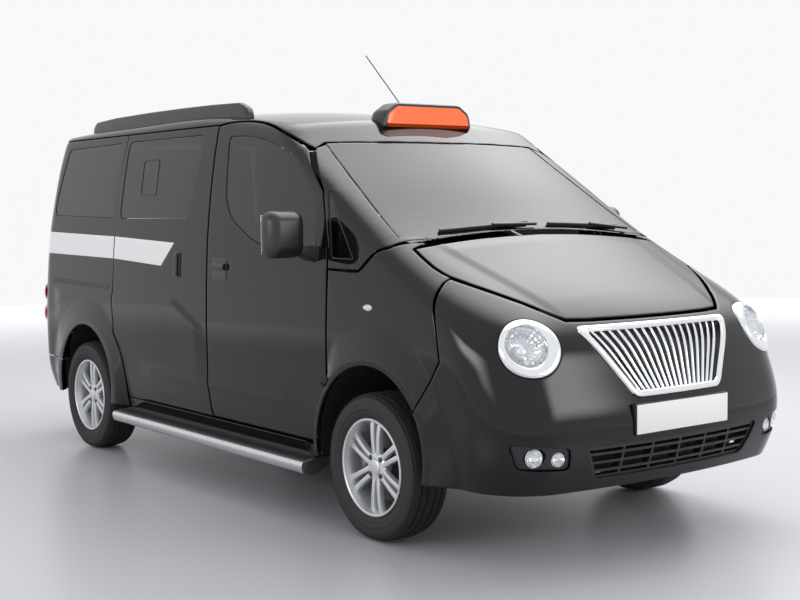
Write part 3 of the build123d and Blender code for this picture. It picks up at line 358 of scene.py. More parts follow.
def grown(ring, by):
    """Outline moved outwards along its corners' normals."""
    ahead, behind = np.roll(ring, -1, axis=0) - ring, ring - np.roll(ring, 1, axis=0)
    ahead /= np.maximum(np.hypot(ahead[:, 0], ahead[:, 1]), 1e-9)[:, None]
    behind /= np.maximum(np.hypot(behind[:, 0], behind[:, 1]), 1e-9)[:, None]
    normal = np.column_stack([(ahead + behind)[:, 1], -(ahead + behind)[:, 0]])
    normal /= np.maximum(np.hypot(normal[:, 0], normal[:, 1]), 1e-9)[:, None]
    miter = 1 / np.maximum(np.abs(normal[:, 0] * ahead[:, 1] - normal[:, 1] * ahead[:, 0]), 0.5)
    return ring + normal * (by * np.sign(signed_area(ring))) * miter[:, None]


def inside(points, ring):
    """Which points lie inside an outline."""
    x, y = points[:, 0], points[:, 1]
    found = np.zeros(len(points), bool)
    for (ax, ay), (bx, by) in zip(ring, np.roll(ring, -1, axis=0)):
        if ay != by:
            found ^= ((ay > y) != (by > y)) & (x < (bx - ax) * (y - ay) / (by - ay) + ax)
    return found


HEM = ((0.008, 0.0), (0.0022, 0.0), (0.0007, 0.0006), (0.0, 0.0022))
PROBE, BODY_MIDDLE = 0.0015, np.array([-0.3, 0.0, 0.9])


def skin_of(place, points):
    """Places on the skin and its outward normals, from small steps along the surface."""
    spot = place(points)
    across, upward = np.array([PROBE, 0]), np.array([0, PROBE])
    normal = np.cross(place(points + across) - place(points - across),
                      place(points + upward) - place(points - upward))
    normal /= np.maximum(np.linalg.norm(normal, axis=1), 1e-12)[:, None]
    normal[np.sum(normal * (spot - BODY_MIDDLE), axis=1) < 0] *= -1
    return spot, normal


def pressed(place, outline, holes=(), depth=0.03, spacing=0.022, sunk=0.0, hem=HEM):
    """Closed panel: outer skin with rolled edges, rim walls and inner face."""
    loops = [outline] + list(holes)
    signs = [1] + [-1] * len(holes)
    rings = [[grown(ring, -sign * inset) for inset, _ in hem] for ring, sign in zip(loops, signs)]
    tops = [levels[0] for levels in rings]
    low, high = tops[0].min(axis=0), tops[0].max(axis=0)
    nx, ny = np.maximum(((high - low) / spacing).astype(int), 2)
    gx, gy = np.meshgrid(np.linspace(low[0], high[0], nx + 1), np.linspace(low[1], high[1], ny + 1))
    grid = np.column_stack([gx.ravel(), gy.ravel()])
    keep = inside(grid, grown(tops[0], -0.45 * spacing))
    for ring in tops[1:]:
        keep &= ~inside(grid, grown(ring, 0.45 * spacing))
    points = np.vstack(tops + [grid[keep]])
    edges, start = [], 0
    for ring in tops:
        count = len(ring)
        edges += [(start + i, start + (i + 1) % count) for i in range(count)]
        start += count
    result = delaunay_2d_cdt([Vector(p) for p in points], edges, [], 0, 1e-7)
    flat = np.array([tuple(v) for v in result[0]])
    home = np.zeros(len(points), int)
    for i, sources in enumerate(result[3]):
        for source in sources:
            home[source] = i
    faces = result[2]
    centre = np.array([flat[list(f)].mean(axis=0) for f in faces])
    good = inside(centre, tops[0])
    for ring in tops[1:]:
        good &= ~inside(centre, ring)
    faces = [tuple(f) for f, ok in zip(faces, good) if ok]
    spot, normal = skin_of(place, flat)
    outer = spot - normal * sunk
    verts = [outer, spot - normal * depth]
    a, b, c = (outer[[f[i] for f in faces]] for i in range(3))
    turned = np.sum(np.cross(b - a, c - a) * normal[[f[0] for f in faces]], axis=1).sum() < 0
    count = len(flat)
    built = [f[::-1] if turned else f for f in faces]
    slots = [0] * len(built)
    built += [tuple(i + count for i in f[::-1]) for f in built]
    slots += [1] * (len(built) - len(slots))
    total, first = 2 * count, 0
    for levels, sign in zip(rings, signs):
        size = len(levels[0])
        ids = [list(home[first:first + size])]
        first += size
        for (inset, drop), ring in list(zip(hem, levels))[1:]:
            level_spot, level_normal = skin_of(place, ring)
            verts.append(level_spot - level_normal * (sunk + drop))
            ids.append(list(range(total, total + size)))
            total += size
        ids.append([i + count for i in ids[0]])
        forward = (signed_area(levels[0]) > 0) == (sign > 0)
        for upper, lower in zip(ids, ids[1:]):
            for i in range(size):
                j = (i + 1) % size
                quad = (upper[i], lower[i], lower[j], upper[j])
                built.append(quad if forward != turned else quad[::-1])
                slots.append(0)
    return np.vstack(verts), built, slots


def mirrored(shape):
    """The same panel on the right side."""
    verts, faces, slots = shape
    return verts * np.array([1, -1, 1]), [f[::-1] for f in faces], list(slots)


def joined(*shapes):
    """Several shapes as one."""
    verts, faces, slots, start = [], [], [], 0
    for shape_verts, shape_faces, shape_slots in shapes:
        verts.append(shape_verts)
        faces += [tuple(i + start for i in f) for f in shape_faces]
        slots += list(shape_slots)
        start += len(shape_verts)
    return np.vstack(verts), faces, slots


def both_sides(*shapes):
    """The shapes and their mirror images as one."""
    return joined(*shapes, *[mirrored(shape) for shape in shapes])


def in_slot(shape, slot):
    """The same shape with one material slot all over."""
    return shape[0], shape[1], [slot] * len(shape[1])


def piece_of(name, shape, materials, body, replaced=(), sharp=40):
    """Mesh object with its materials, on its body, standing for its CAD nodes."""
    verts, faces, slots = shape
    mesh = bpy.data.meshes.new(name)
    mesh.from_pydata(verts.tolist(), [], faces)
    for material in materials:
        mesh.materials.append(material)
    mesh.polygons.foreach_set("material_index", slots)
    mesh.polygons.foreach_set("use_smooth", [True] * len(faces))
    mesh.update()
    mesh.set_sharp_from_angle(angle=math.radians(sharp))
    piece = bpy.data.objects.new(name, mesh)
    bpy.context.scene.collection.objects.link(piece)
    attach(piece, body)
    if replaced:
        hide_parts(*replaced)
    return piece


# Black body paint: solid gloss black sprayed over primer and baked under clear lacquer; the faint ripple of
# the spray shows only as roughness that varies from place to place. The inner faces of the panels carry dull
# grained trim.
body_paint = finish("gloss_black_paint", (0.0035, 0.0035, 0.004), (0.005, 0.005, 0.0056), 0.16, 0.22, 3.0,
                    Specular_IOR_Level=0.0, Coat_Weight=1.0, Coat_Roughness=0.012, Coat_IOR=1.42)
inner_trim = finish("inner_trim", (0.02, 0.02, 0.021), (0.035, 0.035, 0.036), 0.55, 0.75, 120.0, 0.2)


def painted(name, shape, node, body="chassis"):
    """Painted panel with a trimmed inner face, in place of its CAD node."""
    piece_of(name, shape, [body_paint, inner_trim], body, [node])


# Front wings: steel pressings between the door, the bonnet and the nose panel, swollen round the
# wheel arch and bolted to the inner structure. The thin tail behind the wheel reaches the sill.
GAP = 0.0042
SILL_TOP, BODY_LOW, ROOF_SEAM_Z = 0.338, 0.288, 1.752


def arch(which, radius, start, end, steps=30):
    """Points round a wheel arch in the side view, between two angles in degrees."""
    angles = np.radians(np.linspace(start, end, steps))
    return [(ARCHES[which][0] + radius * math.cos(a), ARCH_Z + radius * math.sin(a)) for a in angles]


def arch_angle(which, radius, x=None, z=None, behind=False):
    """Angle in degrees at which an arch circle passes a given x or z."""
    if x is not None:
        return math.degrees(math.acos((x - ARCHES[which][0]) / radius))
    angle = math.degrees(math.asin((z - ARCH_Z) / radius))
    return 180 - angle if behind else angle


DOOR_ARCH, SLIDE_ARCH, DOOR_FRONT_X = 0.395, 0.485, 0.985
door_arc = arch(0, DOOR_ARCH, arch_angle(0, DOOR_ARCH, x=DOOR_FRONT_X),
                arch_angle(0, DOOR_ARCH, z=SILL_TOP, behind=True), 16)
door_toe_x = door_arc[-1][0]
BONNET_EDGE = [(1.412, 0.69), (1.48, 0.6965), (1.55, 0.699), (1.597, 0.694), (1.64, 0.682), (1.72, 0.641),
               (1.8, 0.592), (1.88, 0.536), (1.946, 0.49), (1.99, 0.452), (2.009, 0.432), (2.024, 0.33),
               (2.034, 0.2), (2.039, 0.08)]
WING_CORNER = 4
NOSE_SEAM, SEAM_FOOT_Z = [(1.738, 0.769), (1.711, 0.886), (1.645, 1.06)], 0.556
WING_REAR = [(1.395, 1.205), (1.345, 1.185), (1.2, 1.095)]
bonnet_edge = on_top(BONNET_EDGE)
wing_fan = Over(0.6, 0.82)
front_arch = ARCHES[0][1]
wing_side = ([(DOOR_FRONT_X, 1.095), (DOOR_FRONT_X, 1.0)] + door_arc + [(door_toe_x, BODY_LOW)]
             + arch(0, front_arch, arch_angle(0, front_arch, z=BODY_LOW, behind=True),
                    arch_angle(0, front_arch, z=SEAM_FOOT_Z), 36) + NOSE_SEAM)
wing_ring = wing_fan.flat(np.vstack([on_side(wing_side), bonnet_edge[WING_CORNER::-1], on_side(WING_REAR)]))
wing = pressed(wing_fan, grown(loop(wing_ring), -GAP), depth=0.028, spacing=0.015)
painted("front_wing_skins", both_sides(wing), "front_wings")

# Nose panel: one deep plastic moulding painted like the body, from the bonnet's edge down to the
# lip, cut out for the grille, the headlamps, the lower intake and the fog lamp corners.
nose_fan = Around(1.45, 0.0, 0.75)
LAMP_CENTRE, LAMP_RADIUS = np.array([2.045, 0.644, 0.838]), 0.121
LAMP_TURN, LAMP_TILT = math.radians(20), math.radians(27)
lamp_axis = np.array([math.cos(LAMP_TILT) * math.cos(LAMP_TURN), math.cos(LAMP_TILT) * math.sin(LAMP_TURN),
                      math.sin(LAMP_TILT)])
lamp_side = np.array([-math.sin(LAMP_TURN), math.cos(LAMP_TURN), 0.0])
lamp_up = np.cross(lamp_axis, lamp_side)


def lamp_circle(radius, count=64):
    """Circle about the headlamp's axis, carried along the axis onto the skin."""
    angles = np.linspace(0, 2 * math.pi, count, endpoint=False)[:, None]
    ring = LAMP_CENTRE + radius * (np.cos(angles) * lamp_side + np.sin(angles) * lamp_up)
    return cast(ring - 0.25 * lamp_axis, np.tile(lamp_axis, (count, 1)), 0.5)


def both_halves(points, flip=(-1, 1)):
    """Outline closed by its mirror image across one axis."""
    points = np.array(points, float)
    return np.vstack([points, points[::-1] * np.array(flip)])


GRILLE = both_halves([(0.239, 0.628), (0.425, 0.893)])
INTAKE = both_halves([(0.42, 0.335), (0.49, 0.465)])
FOG_PANEL = [(0.548, 0.385), (0.74, 0.395), (0.77, 0.492), (0.56, 0.47)]
grille_ring = loop(rounded(GRILLE, 0.035), 0.015)
intake_ring = loop(rounded(INTAKE, 0.03), 0.015)
fog_ring = loop(rounded(FOG_PANEL, 0.022), 0.012)
seam_side = NOSE_SEAM[::-1] + arch(0, front_arch, arch_angle(0, front_arch, z=SEAM_FOOT_Z),
                                   arch_angle(0, front_arch, z=BODY_LOW), 16)
nose_half = nose_fan.flat(np.vstack([bonnet_edge[:WING_CORNER - 1:-1], on_side(seam_side)]))
holes = [nose_fan.flat(on_front(grille_ring)), nose_fan.flat(on_front(intake_ring))]
for side in (1, -1):
    turn = np.array([side, 1])
    holes.append(grown(nose_fan.flat(lamp_circle(LAMP_RADIUS)) * turn, 0.001))
    holes.append(nose_fan.flat(on_front(fog_ring)) * turn)
nose = pressed(nose_fan, grown(loop(both_halves(nose_half)), -GAP), holes, depth=0.03, spacing=0.018)
painted("nose_skin", nose, "front_fascia")

# Sills: box beams of folded and welded steel under the doors, closed by an outer panel that is
# painted with the body.
slide_arc = arch(1, SLIDE_ARCH, arch_angle(1, SLIDE_ARCH, z=SILL_TOP),
                 arch_angle(1, SLIDE_ARCH, x=-1.078), 16)
slide_toe_x = slide_arc[0][0]
sill_ring = loop([(slide_toe_x, BODY_LOW), (door_toe_x, BODY_LOW), (door_toe_x, SILL_TOP),
                  (slide_toe_x, SILL_TOP)])
sill = pressed(on_side, grown(sill_ring, -0.001), depth=0.045)
painted("sill_skins", both_sides(sill), "sills")


# Sliding doors: pressed steel skins folded over a frame and hung on rollers in the slide rail, shut
# flush with the body, each with one large bonded pane.
def curve(a, via, b, steps=6):
    """Points from a to just before b on the arc that passes through via."""
    a, via, b = (complex(*p) for p in (a, via, b))
    w = (b - a) / (via - a)
    centre = a + (via - a) * (w - abs(w) ** 2) / (2j * w.imag)
    radius = abs(a - centre)
    start, swing = np.angle(a - centre), np.angle((b - centre) / (a - centre))
    if np.angle((via - centre) / (a - centre)) * swing < 0:
        swing -= math.copysign(2 * math.pi, swing)
    turns = start + swing * np.arange(steps) / steps
    return [(centre.real + radius * math.cos(t), centre.imag + radius * math.sin(t)) for t in turns]


REAR_SEAM, DOOR_FOOT_X, DOOR_TOP_X = [(-1.094, 0.913), (-1.044, ROOF_SEAM_Z)], -0.043, -0.059
DOOR_TOP = curve((DOOR_TOP_X, ROOF_SEAM_Z), (0.42, 1.724), (0.7, 1.612), 24)
sliding_ring = loop([(DOOR_FOOT_X, SILL_TOP)] + slide_arc + REAR_SEAM + [(DOOR_TOP_X, ROOF_SEAM_Z)])
sliding_pane = loop(rounded([(-0.185, 1.712), (-0.27, 1.305), (-1.03, 1.3), (-1.012, 1.712)], 0.035))
sliding = pressed(on_side, grown(sliding_ring, -GAP), [sliding_pane], depth=0.04, spacing=0.015)
painted("sliding_door_skins", both_sides(sliding), "sliding_doors")

# Rear quarter panels: pressed steel from the sliding door round to the tailgate, with the rear wheel
# arch and the openings for a bonded pane and the tail lamp, welded to the roof and floor.
quarter_fan = Around(-1.45, 0.1, 0.72, facing=-1)
rear_arch = ARCHES[1][1]
BUMPER_TOP, CORNER_X, CORNER_TOP_Z = 0.48, -1.85, 1.748
LAMP_Z, LAMP_INNER_Y, LAMP_FRONT_X = (0.664, 0.942), 0.716, -2.04
quarter_side = slide_arc + REAR_SEAM + [(-1.5, ROOF_SEAM_Z), (CORNER_X, ROOF_SEAM_Z)]
gate_up = on_back([(0.70, 0.48), (0.702, 0.66), (0.704, 0.84), (0.705, 1.02), (0.705, 1.2), (0.685, 1.33),
                   (0.663, 1.47), (0.64, 1.62), (0.624, 1.74)])
corner_ends = quarter_fan.flat(np.vstack([on_side([(CORNER_X, ROOF_SEAM_Z)]), gate_up[-1:]]))[:, 0]
corner_top = quarter_fan([(bearing, CORNER_TOP_Z) for bearing in np.linspace(*corner_ends, 8)[1:-1]])
bumper_line = on_side(arch(1, rear_arch, arch_angle(1, rear_arch, z=BUMPER_TOP, behind=True),
                           arch_angle(1, rear_arch, z=BODY_LOW), 40))
quarter_ring = quarter_fan.flat(np.vstack([on_side(quarter_side), corner_top, gate_up[::-1], bumper_line,
                                           on_side([(slide_toe_x, BODY_LOW)])]))
QUARTER_WINDOW = rounded([(-1.1, 1.71), (-1.122, 1.303), (-1.9, 1.318), (-1.915, 1.37), (-1.8, 1.70)], 0.03)
quarter_pane = quarter_fan.flat(on_side(loop(QUARTER_WINDOW)))
lamp_sides = np.vstack([on_back([(LAMP_INNER_Y, z) for z in np.linspace(*LAMP_Z, 6)]),
                        on_side([(LAMP_FRONT_X, z) for z in np.linspace(*LAMP_Z[::-1], 6)])])
lamp_ring = loop(rounded(quarter_fan.flat(lamp_sides), 0.02), 0.015)
quarter = pressed(quarter_fan, grown(loop(quarter_ring), -GAP), [quarter_pane, lamp_ring], depth=0.055,
                  spacing=0.016)
painted("rear_quarter_skins", both_sides(quarter), "rear_quarters")

# Rear bumper: one moulding of painted plastic that wraps both rear corners below the tailgate, clipped
# to the quarter panels and bolted to the end of the floor.
tail_fan = Around(-1.45, 0.0, 0.75, facing=-1)
bumper_end = arch(1, rear_arch, arch_angle(1, rear_arch, z=BODY_LOW, behind=True),
                  arch_angle(1, rear_arch, z=BUMPER_TOP, behind=True), 12)
bumper_half = np.vstack([tail_fan.flat(on_side(bumper_end)),
                         [(tail_fan.flat(gate_up[:1])[0, 0], BUMPER_TOP)]])
bumper = pressed(tail_fan, grown(loop(both_halves(bumper_half)), -GAP), depth=0.03)
painted("rear_bumper_skin", bumper, "rear_bumper")

# Front doors: pressed steel skins over a frame, hung on two hinges at the front edge, each with a
# sliding pane in a dark channel.
front_door_ring = loop([(DOOR_FOOT_X, SILL_TOP)] + DOOR_TOP
                       + [(0.7, 1.612), (0.905, 1.425), (0.975, 1.194), (DOOR_FRONT_X, 1.0)] + door_arc)
FRONT_WINDOW = ([(0.062, 1.69), (0.095, 1.41)] + curve((0.095, 1.41), (0.16, 1.312), (0.253, 1.26))[1:]
                + curve((0.253, 1.26), (0.347, 1.215), (0.449, 1.185))
                + [(0.449, 1.185), (0.905, 1.118), (0.848, 1.395), (0.668, 1.57)]
                + curve((0.668, 1.57), (0.38, 1.665), (0.062, 1.69))[1:])
front_pane = loop(rounded(FRONT_WINDOW, 0.03))


def on_doors(name, shape, materials, node=None):
    """The same piece on the left front door and, mirrored, on the right one."""
    for label, half in (("left", shape), ("right", mirrored(shape))):
        piece_of(f"{name}_{label}", half, materials, f"{label}_door",
                 [f"{node}_{label}"] if node else ())


door_skin = pressed(on_side_plain, grown(front_door_ring, -2 * GAP), [front_pane], depth=0.05, spacing=0.018)
on_doors("front_door_skin", door_skin, [body_paint, inner_trim], "front_door")

# Screen pillars: the slanted posts of welded steel between windscreen and door, painted with the body,
# each with a small fixed pane at its foot.
pillar_fan = Over(0.9, 0.8)
screen_edge = on_front([(0.614, 1.63), (0.634, 1.53), (0.656, 1.42), (0.678, 1.31), (0.694, 1.23)])
pillar_side = on_side([(1.378, 1.222), (1.345, 1.195), (1.2, 1.095), (0.985, 1.095), (0.975, 1.194),
                       (0.905, 1.425), (0.7, 1.612)])
pillar_ring = pillar_fan.flat(np.vstack([pillar_side, screen_edge]))
VENT_WINDOW = rounded([(1.01, 1.135), (1.165, 1.135), (0.945, 1.42), (0.938, 1.415)], 0.02)
vent_pane = pillar_fan.flat(on_side(loop(VENT_WINDOW, 0.015)))
pillar = pressed(pillar_fan, grown(loop(pillar_ring), -GAP / 2), [vent_pane], depth=0.03, spacing=0.018)
painted("screen_pillar_skins", both_sides(pillar), "a_pillars")

# Roof: one broad steel pressing from the windscreen to the tailgate, spot-welded along the side rails
# and painted with the body.
roof_fan = Over(1.2, 0.85)
roof_side = on_side([(x, ROOF_SEAM_Z) for x in (CORNER_X, -1.4, -0.7)] + DOOR_TOP + [(0.7, 1.612)])
HEADER = [(0.55, 1.641), (0.4, 1.643), (0.2, 1.645), (0.05, 1.645)]
header = on_front([(0.612, 1.64)] + HEADER)
gate_top = on_back([(y, 1.745) for y in (0.05, 0.3, 0.55, 0.62)])
roof_half = roof_fan.flat(np.vstack([gate_top, corner_top[::-1], roof_side, header]))
roof = pressed(roof_fan, grown(loop(both_halves(roof_half, (1, -1))), -GAP / 2), depth=0.03, spacing=0.026)
painted("roof_skin", roof, "roof_panel")

# Bonnet: a pressed steel lid with its middle raised between two creases, hinged at its rear edge under
# the cowl and painted with the body.
BONNET_RISE = 0.007


def on_bonnet(points):
    """Bonnet skin with its middle raised between two creases."""
    found = on_top(points)
    crease = np.interp(found[:, 0], [1.41, 2.0], [0.585, 0.45])
    away = np.clip((crease - np.abs(found[:, 1])) / 0.03, 0, 1)
    fade = np.clip((2.03 - found[:, 0]) / 0.12, 0, 1) * np.clip((found[:, 0] - 1.40) / 0.08, 0, 1)
    found[:, 2] += BONNET_RISE * away * away * (3 - 2 * away) * fade
    return found


bonnet_ring = loop(both_halves(BONNET_EDGE, (1, -1)))
bonnet = pressed(on_bonnet, grown(bonnet_ring, -2 * GAP), depth=0.03, spacing=0.016)
painted("bonnet_skin", bonnet, "bonnet", "bonnet_lid")

# Tailgate: a pressed steel lift-up door over the whole rear opening, hinged under the roof's edge,
# with a bonded pane.
TAILGATE = [(0.70, 0.48), (0.704, 0.84), (0.705, 1.2), (0.663, 1.47), (0.62, 1.743)]
gate_window = loop(rounded(both_halves([(0.56, 1.29), (0.522, 1.61)]), 0.05))
tailgate = pressed(on_back, grown(loop(both_halves(TAILGATE)), -2 * GAP), [gate_window], depth=0.035)
painted("tailgate_skin", tailgate, "tailgate", "tailgate_lid")


# Window glass: toughened panes tinted grey, bonded flush in their openings. The windscreen is laminated
# and lighter than the privacy glass behind it.
def glass_of(name, tint, ior):
    """Smooth clear or tinted glass."""
    material = bpy.data.materials.new(name)
    material.use_nodes = True
    shader = material.node_tree.nodes["Principled BSDF"]
    shader.inputs["Base Color"].default_value = (*tint, 1)
    shader.inputs["Roughness"].default_value = 0.0
    shader.inputs["Transmission Weight"].default_value = 1.0
    shader.inputs["IOR"].default_value = ior
    return material


screen_glass = glass_of("screen_glass", (0.045, 0.048, 0.05), 1.38)
privacy_glass = glass_of("privacy_glass", (0.018, 0.019, 0.022), 1.5)
PANE_SUNK, PANE_DEPTH, PANE_GAP = 0.002, 0.007, 0.0015
PANE_HEM = ((0.006, 0.0), (0.0012, 0.0), (0.0, 0.001))


def pane_of(place, ring, spacing=0.03):
    """Pane set just below the skin."""
    return pressed(place, grown(ring, -PANE_GAP), depth=PANE_DEPTH, sunk=PANE_SUNK, spacing=spacing,
                   hem=PANE_HEM)


side_panes = both_sides(pane_of(pillar_fan, vent_pane), pane_of(on_side, sliding_pane),
                        pane_of(quarter_fan, quarter_pane))
piece_of("side_panes", side_panes, [privacy_glass] * 2, "chassis", ["side_glass"])
on_doors("front_door_pane", pane_of(on_side_plain, front_pane), [privacy_glass] * 2,
         "door_glass")
piece_of("tailgate_pane", pane_of(on_back, gate_window), [privacy_glass] * 2, "tailgate_lid",
         ["tailgate_glass"])
SCREEN_FOOT_X = 1.378
foot_line = on_top([(SCREEN_FOOT_X, y) for y in np.linspace(0.0, 0.68, 18)])
screen_half = np.vstack([foot_line[1:, 1:], [(0.697, 1.235), (0.678, 1.31), (0.634, 1.53), (0.613, 1.637)],
                         HEADER])
windscreen = pane_of(on_front, loop(both_halves(screen_half)))
piece_of("windscreen_pane", windscreen, [screen_glass] * 2, "chassis", ["windscreen"])

# Tail lamps: red acrylic lenses moulded with two round bulges, set in the rear corners and screwed in
# from inside.
red_lens = finish("red_lens", (0.45, 0.004, 0.006), (0.55, 0.008, 0.01), 0.04, 0.08, 30.0,
                  Coat_Weight=1.0, Coat_Roughness=0.02, Subsurface_Weight=0.0)
BULGES, BULGE_RISE = ((0.735, 0.052), (0.862, 0.055)), 0.022


def on_lamp(points):
    """Tail lamp skin with its two bulges."""
    found = quarter_fan(points)
    for z, radius in BULGES:
        middle = quarter_fan(np.array([[lamp_middle, z]]))[0]
        away = np.clip(1 - (np.linalg.norm(found - middle, axis=1) / radius) ** 2, 0, 1)
        out = found[:, :2] - np.array([-1.7, 0.45])
        out /= np.linalg.norm(out, axis=1)[:, None]
        found[:, :2] += out * (BULGE_RISE * np.sqrt(away))[:, None]
    return found


lamp_middle = 0.35 * lamp_ring[:, 0].min() + 0.65 * lamp_ring[:, 0].max()
tail_lamp = pressed(on_lamp, grown(lamp_ring, -0.0015), depth=0.028, spacing=0.01)
piece_of("tail_lamp_lenses", both_sides(tail_lamp), [red_lens] * 2, "chassis", ["tail_lamps"])

# Headlamps: a broad chromed ring, thicker at its lower inner side, round a bright reflector bowl
# under a domed clear lens. The ring is clipped into the nose panel.
chrome = finish("bright_chrome", (0.80, 0.81, 0.82), (0.86, 0.87, 0.88), 0.03, 0.07, 14.0, Metallic=1.0)
clear_lens = glass_of("clear_lens", (0.97, 0.98, 1.0), 1.3)
lamp_bright = finish("lamp_reflector", (0.62, 0.63, 0.64), (0.9, 0.9, 0.9), 0.05, 0.16, 60.0, Metallic=1.0)


def circle_at(centre, axis, across, radius, count):
    """Points evenly round an axis."""
    angles = np.linspace(0, 2 * math.pi, count, endpoint=False)[:, None]
    return centre + radius * (np.cos(angles) * across + np.sin(angles) * np.cross(axis, across))


def outward(shape):
    """The same shape with its faces turned outwards."""
    verts, faces, slots = shape
    volume = 0.0
    for face in faces:
        a = verts[face[0]]
        for i in range(1, len(face) - 1):
            volume += np.dot(a, np.cross(verts[face[i]], verts[face[i + 1]]))
    return (verts, faces, slots) if volume > 0 else (verts, [f[::-1] for f in faces], slots)


def lofted(loops, slot=0, closed=False):
    """Skin through loops of equal count, capped at both ends or closed from the last to the first."""
    count, levels, faces = len(loops[0]), len(loops), []
    for level in range(levels if closed else levels - 1):
        low, high = level * count, (level + 1) % levels * count
        for i in range(count):
            j = (i + 1) % count
            faces.append((low + i, low + j, high + j, high + i))
    if not closed:
        faces += [tuple(range(count))[::-1], tuple(range((levels - 1) * count, levels * count))]
    return outward((np.vstack(loops), faces, [slot] * len(faces)))


def turned(profile, centre, axis, across, count=64, closed=True):
    """Ring of (radius, height) points turned about an axis, or a solid with flat ends."""
    loops = [circle_at(centre + axis * height, axis, across, radius, count) for radius, height in profile]
    return lofted(loops, closed=closed)


RING_IN, LENS_DRIFT, LENS_SEAT = 0.083, 0.016, 0.010
lens_centre = LAMP_CENTRE + LENS_DRIFT * (0.94 * lamp_side + 0.34 * lamp_up) - LENS_SEAT * lamp_axis
BEZEL = ((0.0, -0.05), (0.0, 0.003), (0.03, 0.0075), (0.12, 0.0115), (0.3, 0.013), (0.6, 0.0125),
         (0.85, 0.0105),
         (0.96, 0.007), (1.0, 0.001), (1.0, -0.05))
on_skin = lamp_circle(LAMP_RADIUS - 0.0006)
at_lens = circle_at(lens_centre, lamp_axis, lamp_side, RING_IN, len(on_skin))
bezel = lofted([on_skin * (1 - share) + at_lens * share + proud * lamp_axis for share, proud in BEZEL],
               closed=True)
piece_of("headlamp_rings", both_sides(bezel), [chrome], "chassis", ["headlamp_bezels"])
LENS = [(0.0825, -0.008), (0.0825, -0.001), (0.078, 0.0045), (0.066, 0.0095), (0.05, 0.0135), (0.03, 0.0165),
        (0.012, 0.018), (0.0005, 0.0182), (0.0005, 0.0152), (0.012, 0.015), (0.03, 0.0135), (0.05, 0.0105),
        (0.066, 0.0065), (0.078, -0.002)]
lens = turned(LENS, lens_centre, lamp_axis, lamp_side)
piece_of("headlamp_glasses", both_sides(lens), [clear_lens], "chassis", ["headlamp_lenses"])
FLUTES, FLUTE_DEPTH = 22, 0.0016
BOWL = [(0.081, -0.01), (0.075, -0.026), (0.066, -0.041), (0.054, -0.053), (0.04, -0.061), (0.026, -0.065)]
BOWL_BACK = [(0.026, -0.072), (0.083, -0.072)]
bowl = turned(BOWL + BOWL_BACK, lens_centre, lamp_axis, lamp_side, 4 * FLUTES)
ripple = np.tile(np.where(np.arange(4 * FLUTES) % 4 < 2, FLUTE_DEPTH, -FLUTE_DEPTH), len(BOWL))
bowl[0][:len(ripple)] += ripple[:, None] * lamp_axis
BULB = [(0.026, -0.07), (0.026, -0.052), (0.023, -0.043), (0.016, -0.037), (0.006, -0.034)]
bulb = turned(BULB, lens_centre, lamp_axis, lamp_side, 32, closed=False)
reflector = joined(bowl, in_slot(bulb, 1))
piece_of("headlamp_bowls", both_sides(reflector), [lamp_bright, chrome], "chassis")

# Grille: a chromed die-cast surround with seventeen fanned upright bars before a dark mesh plate,
# clipped into the nose panel. The lower intake has its own dark plate behind.
dark_plastic = finish("black_plastic", (0.010, 0.010, 0.011), (0.02, 0.02, 0.021), 0.38, 0.55, 260.0, 0.12)
BAR_COUNT, BAR_WIDTH, BAR_LOW, BAR_HIGH = 17, 0.0125, (0.212, 0.642), (0.372, 0.883)
GRILLE_IN = both_halves([(0.227, 0.652), (0.382, 0.874)])
SURROUND_HEM = ((0.009, 0.0), (0.005, 0.0012), (0.002, 0.004), (0.0, 0.008))
surround = pressed(on_front, grown(grille_ring, 0.003), [loop(rounded(GRILLE_IN, 0.022), 0.012)], depth=0.03,
                   spacing=0.012, sunk=-0.011, hem=SURROUND_HEM)


def strip(line, width, place, lift, thick, steps=14, crown=0.005):
    """Rounded bar laid along a line on the skin, standing proud of it by the lift."""
    line = np.asarray(line, float)
    spot, normal = skin_of(place, line[0] + (line[1] - line[0]) * np.linspace(0, 1, steps)[:, None])
    across = np.cross(normal, np.gradient(spot, axis=0))
    across /= np.linalg.norm(across, axis=1)[:, None]
    half = width / 2
    section = np.array([(-half, -thick), (-half, 0), (-0.8 * half, 0.5 * crown), (-0.4 * half, 0.9 * crown),
                        (0, crown), (0.4 * half, 0.9 * crown), (0.8 * half, 0.5 * crown), (half, 0),
                        (half, -thick)])
    return lofted(spot[:, None] + across[:, None] * section[:, :1]
                  + normal[:, None] * (section[:, 1:] + lift))


bars = []
for share in (2 * np.arange(BAR_COUNT) + 1) / BAR_COUNT - 1:
    ends = [(share * BAR_LOW[0], BAR_LOW[1]), (share * BAR_HIGH[0], BAR_HIGH[1])]
    bars.append(strip(ends, BAR_WIDTH, on_front, -0.006, 0.014))
backing = pressed(on_front, grown(grille_ring, -0.004), depth=0.045, spacing=0.04, sunk=0.035)
piece_of("grille_casting", joined(in_slot(surround, 0), *bars, in_slot(backing, 1)), [chrome, dark_plastic],
         "chassis", ["grille"])
dress(dark_plastic, "lower_intake", "cowl")
intake_back = pressed(on_front, grown(intake_ring, 0.02), depth=0.075, spacing=0.04, sunk=0.068)
piece_of("intake_back_plate", intake_back, [dark_plastic] * 2, "chassis")


# Fog lamps: a dark moulded corner panel clipped in each side of the nose, with two round lamps of
# pressed bright cups under clear lenses.
def ellipse(x, y, wide, high, count):
    """Points evenly round an ellipse."""
    angles = np.linspace(0, 2 * math.pi, count, endpoint=False)
    return np.array([(x + wide * math.cos(a), y + high * math.sin(a)) for a in angles])


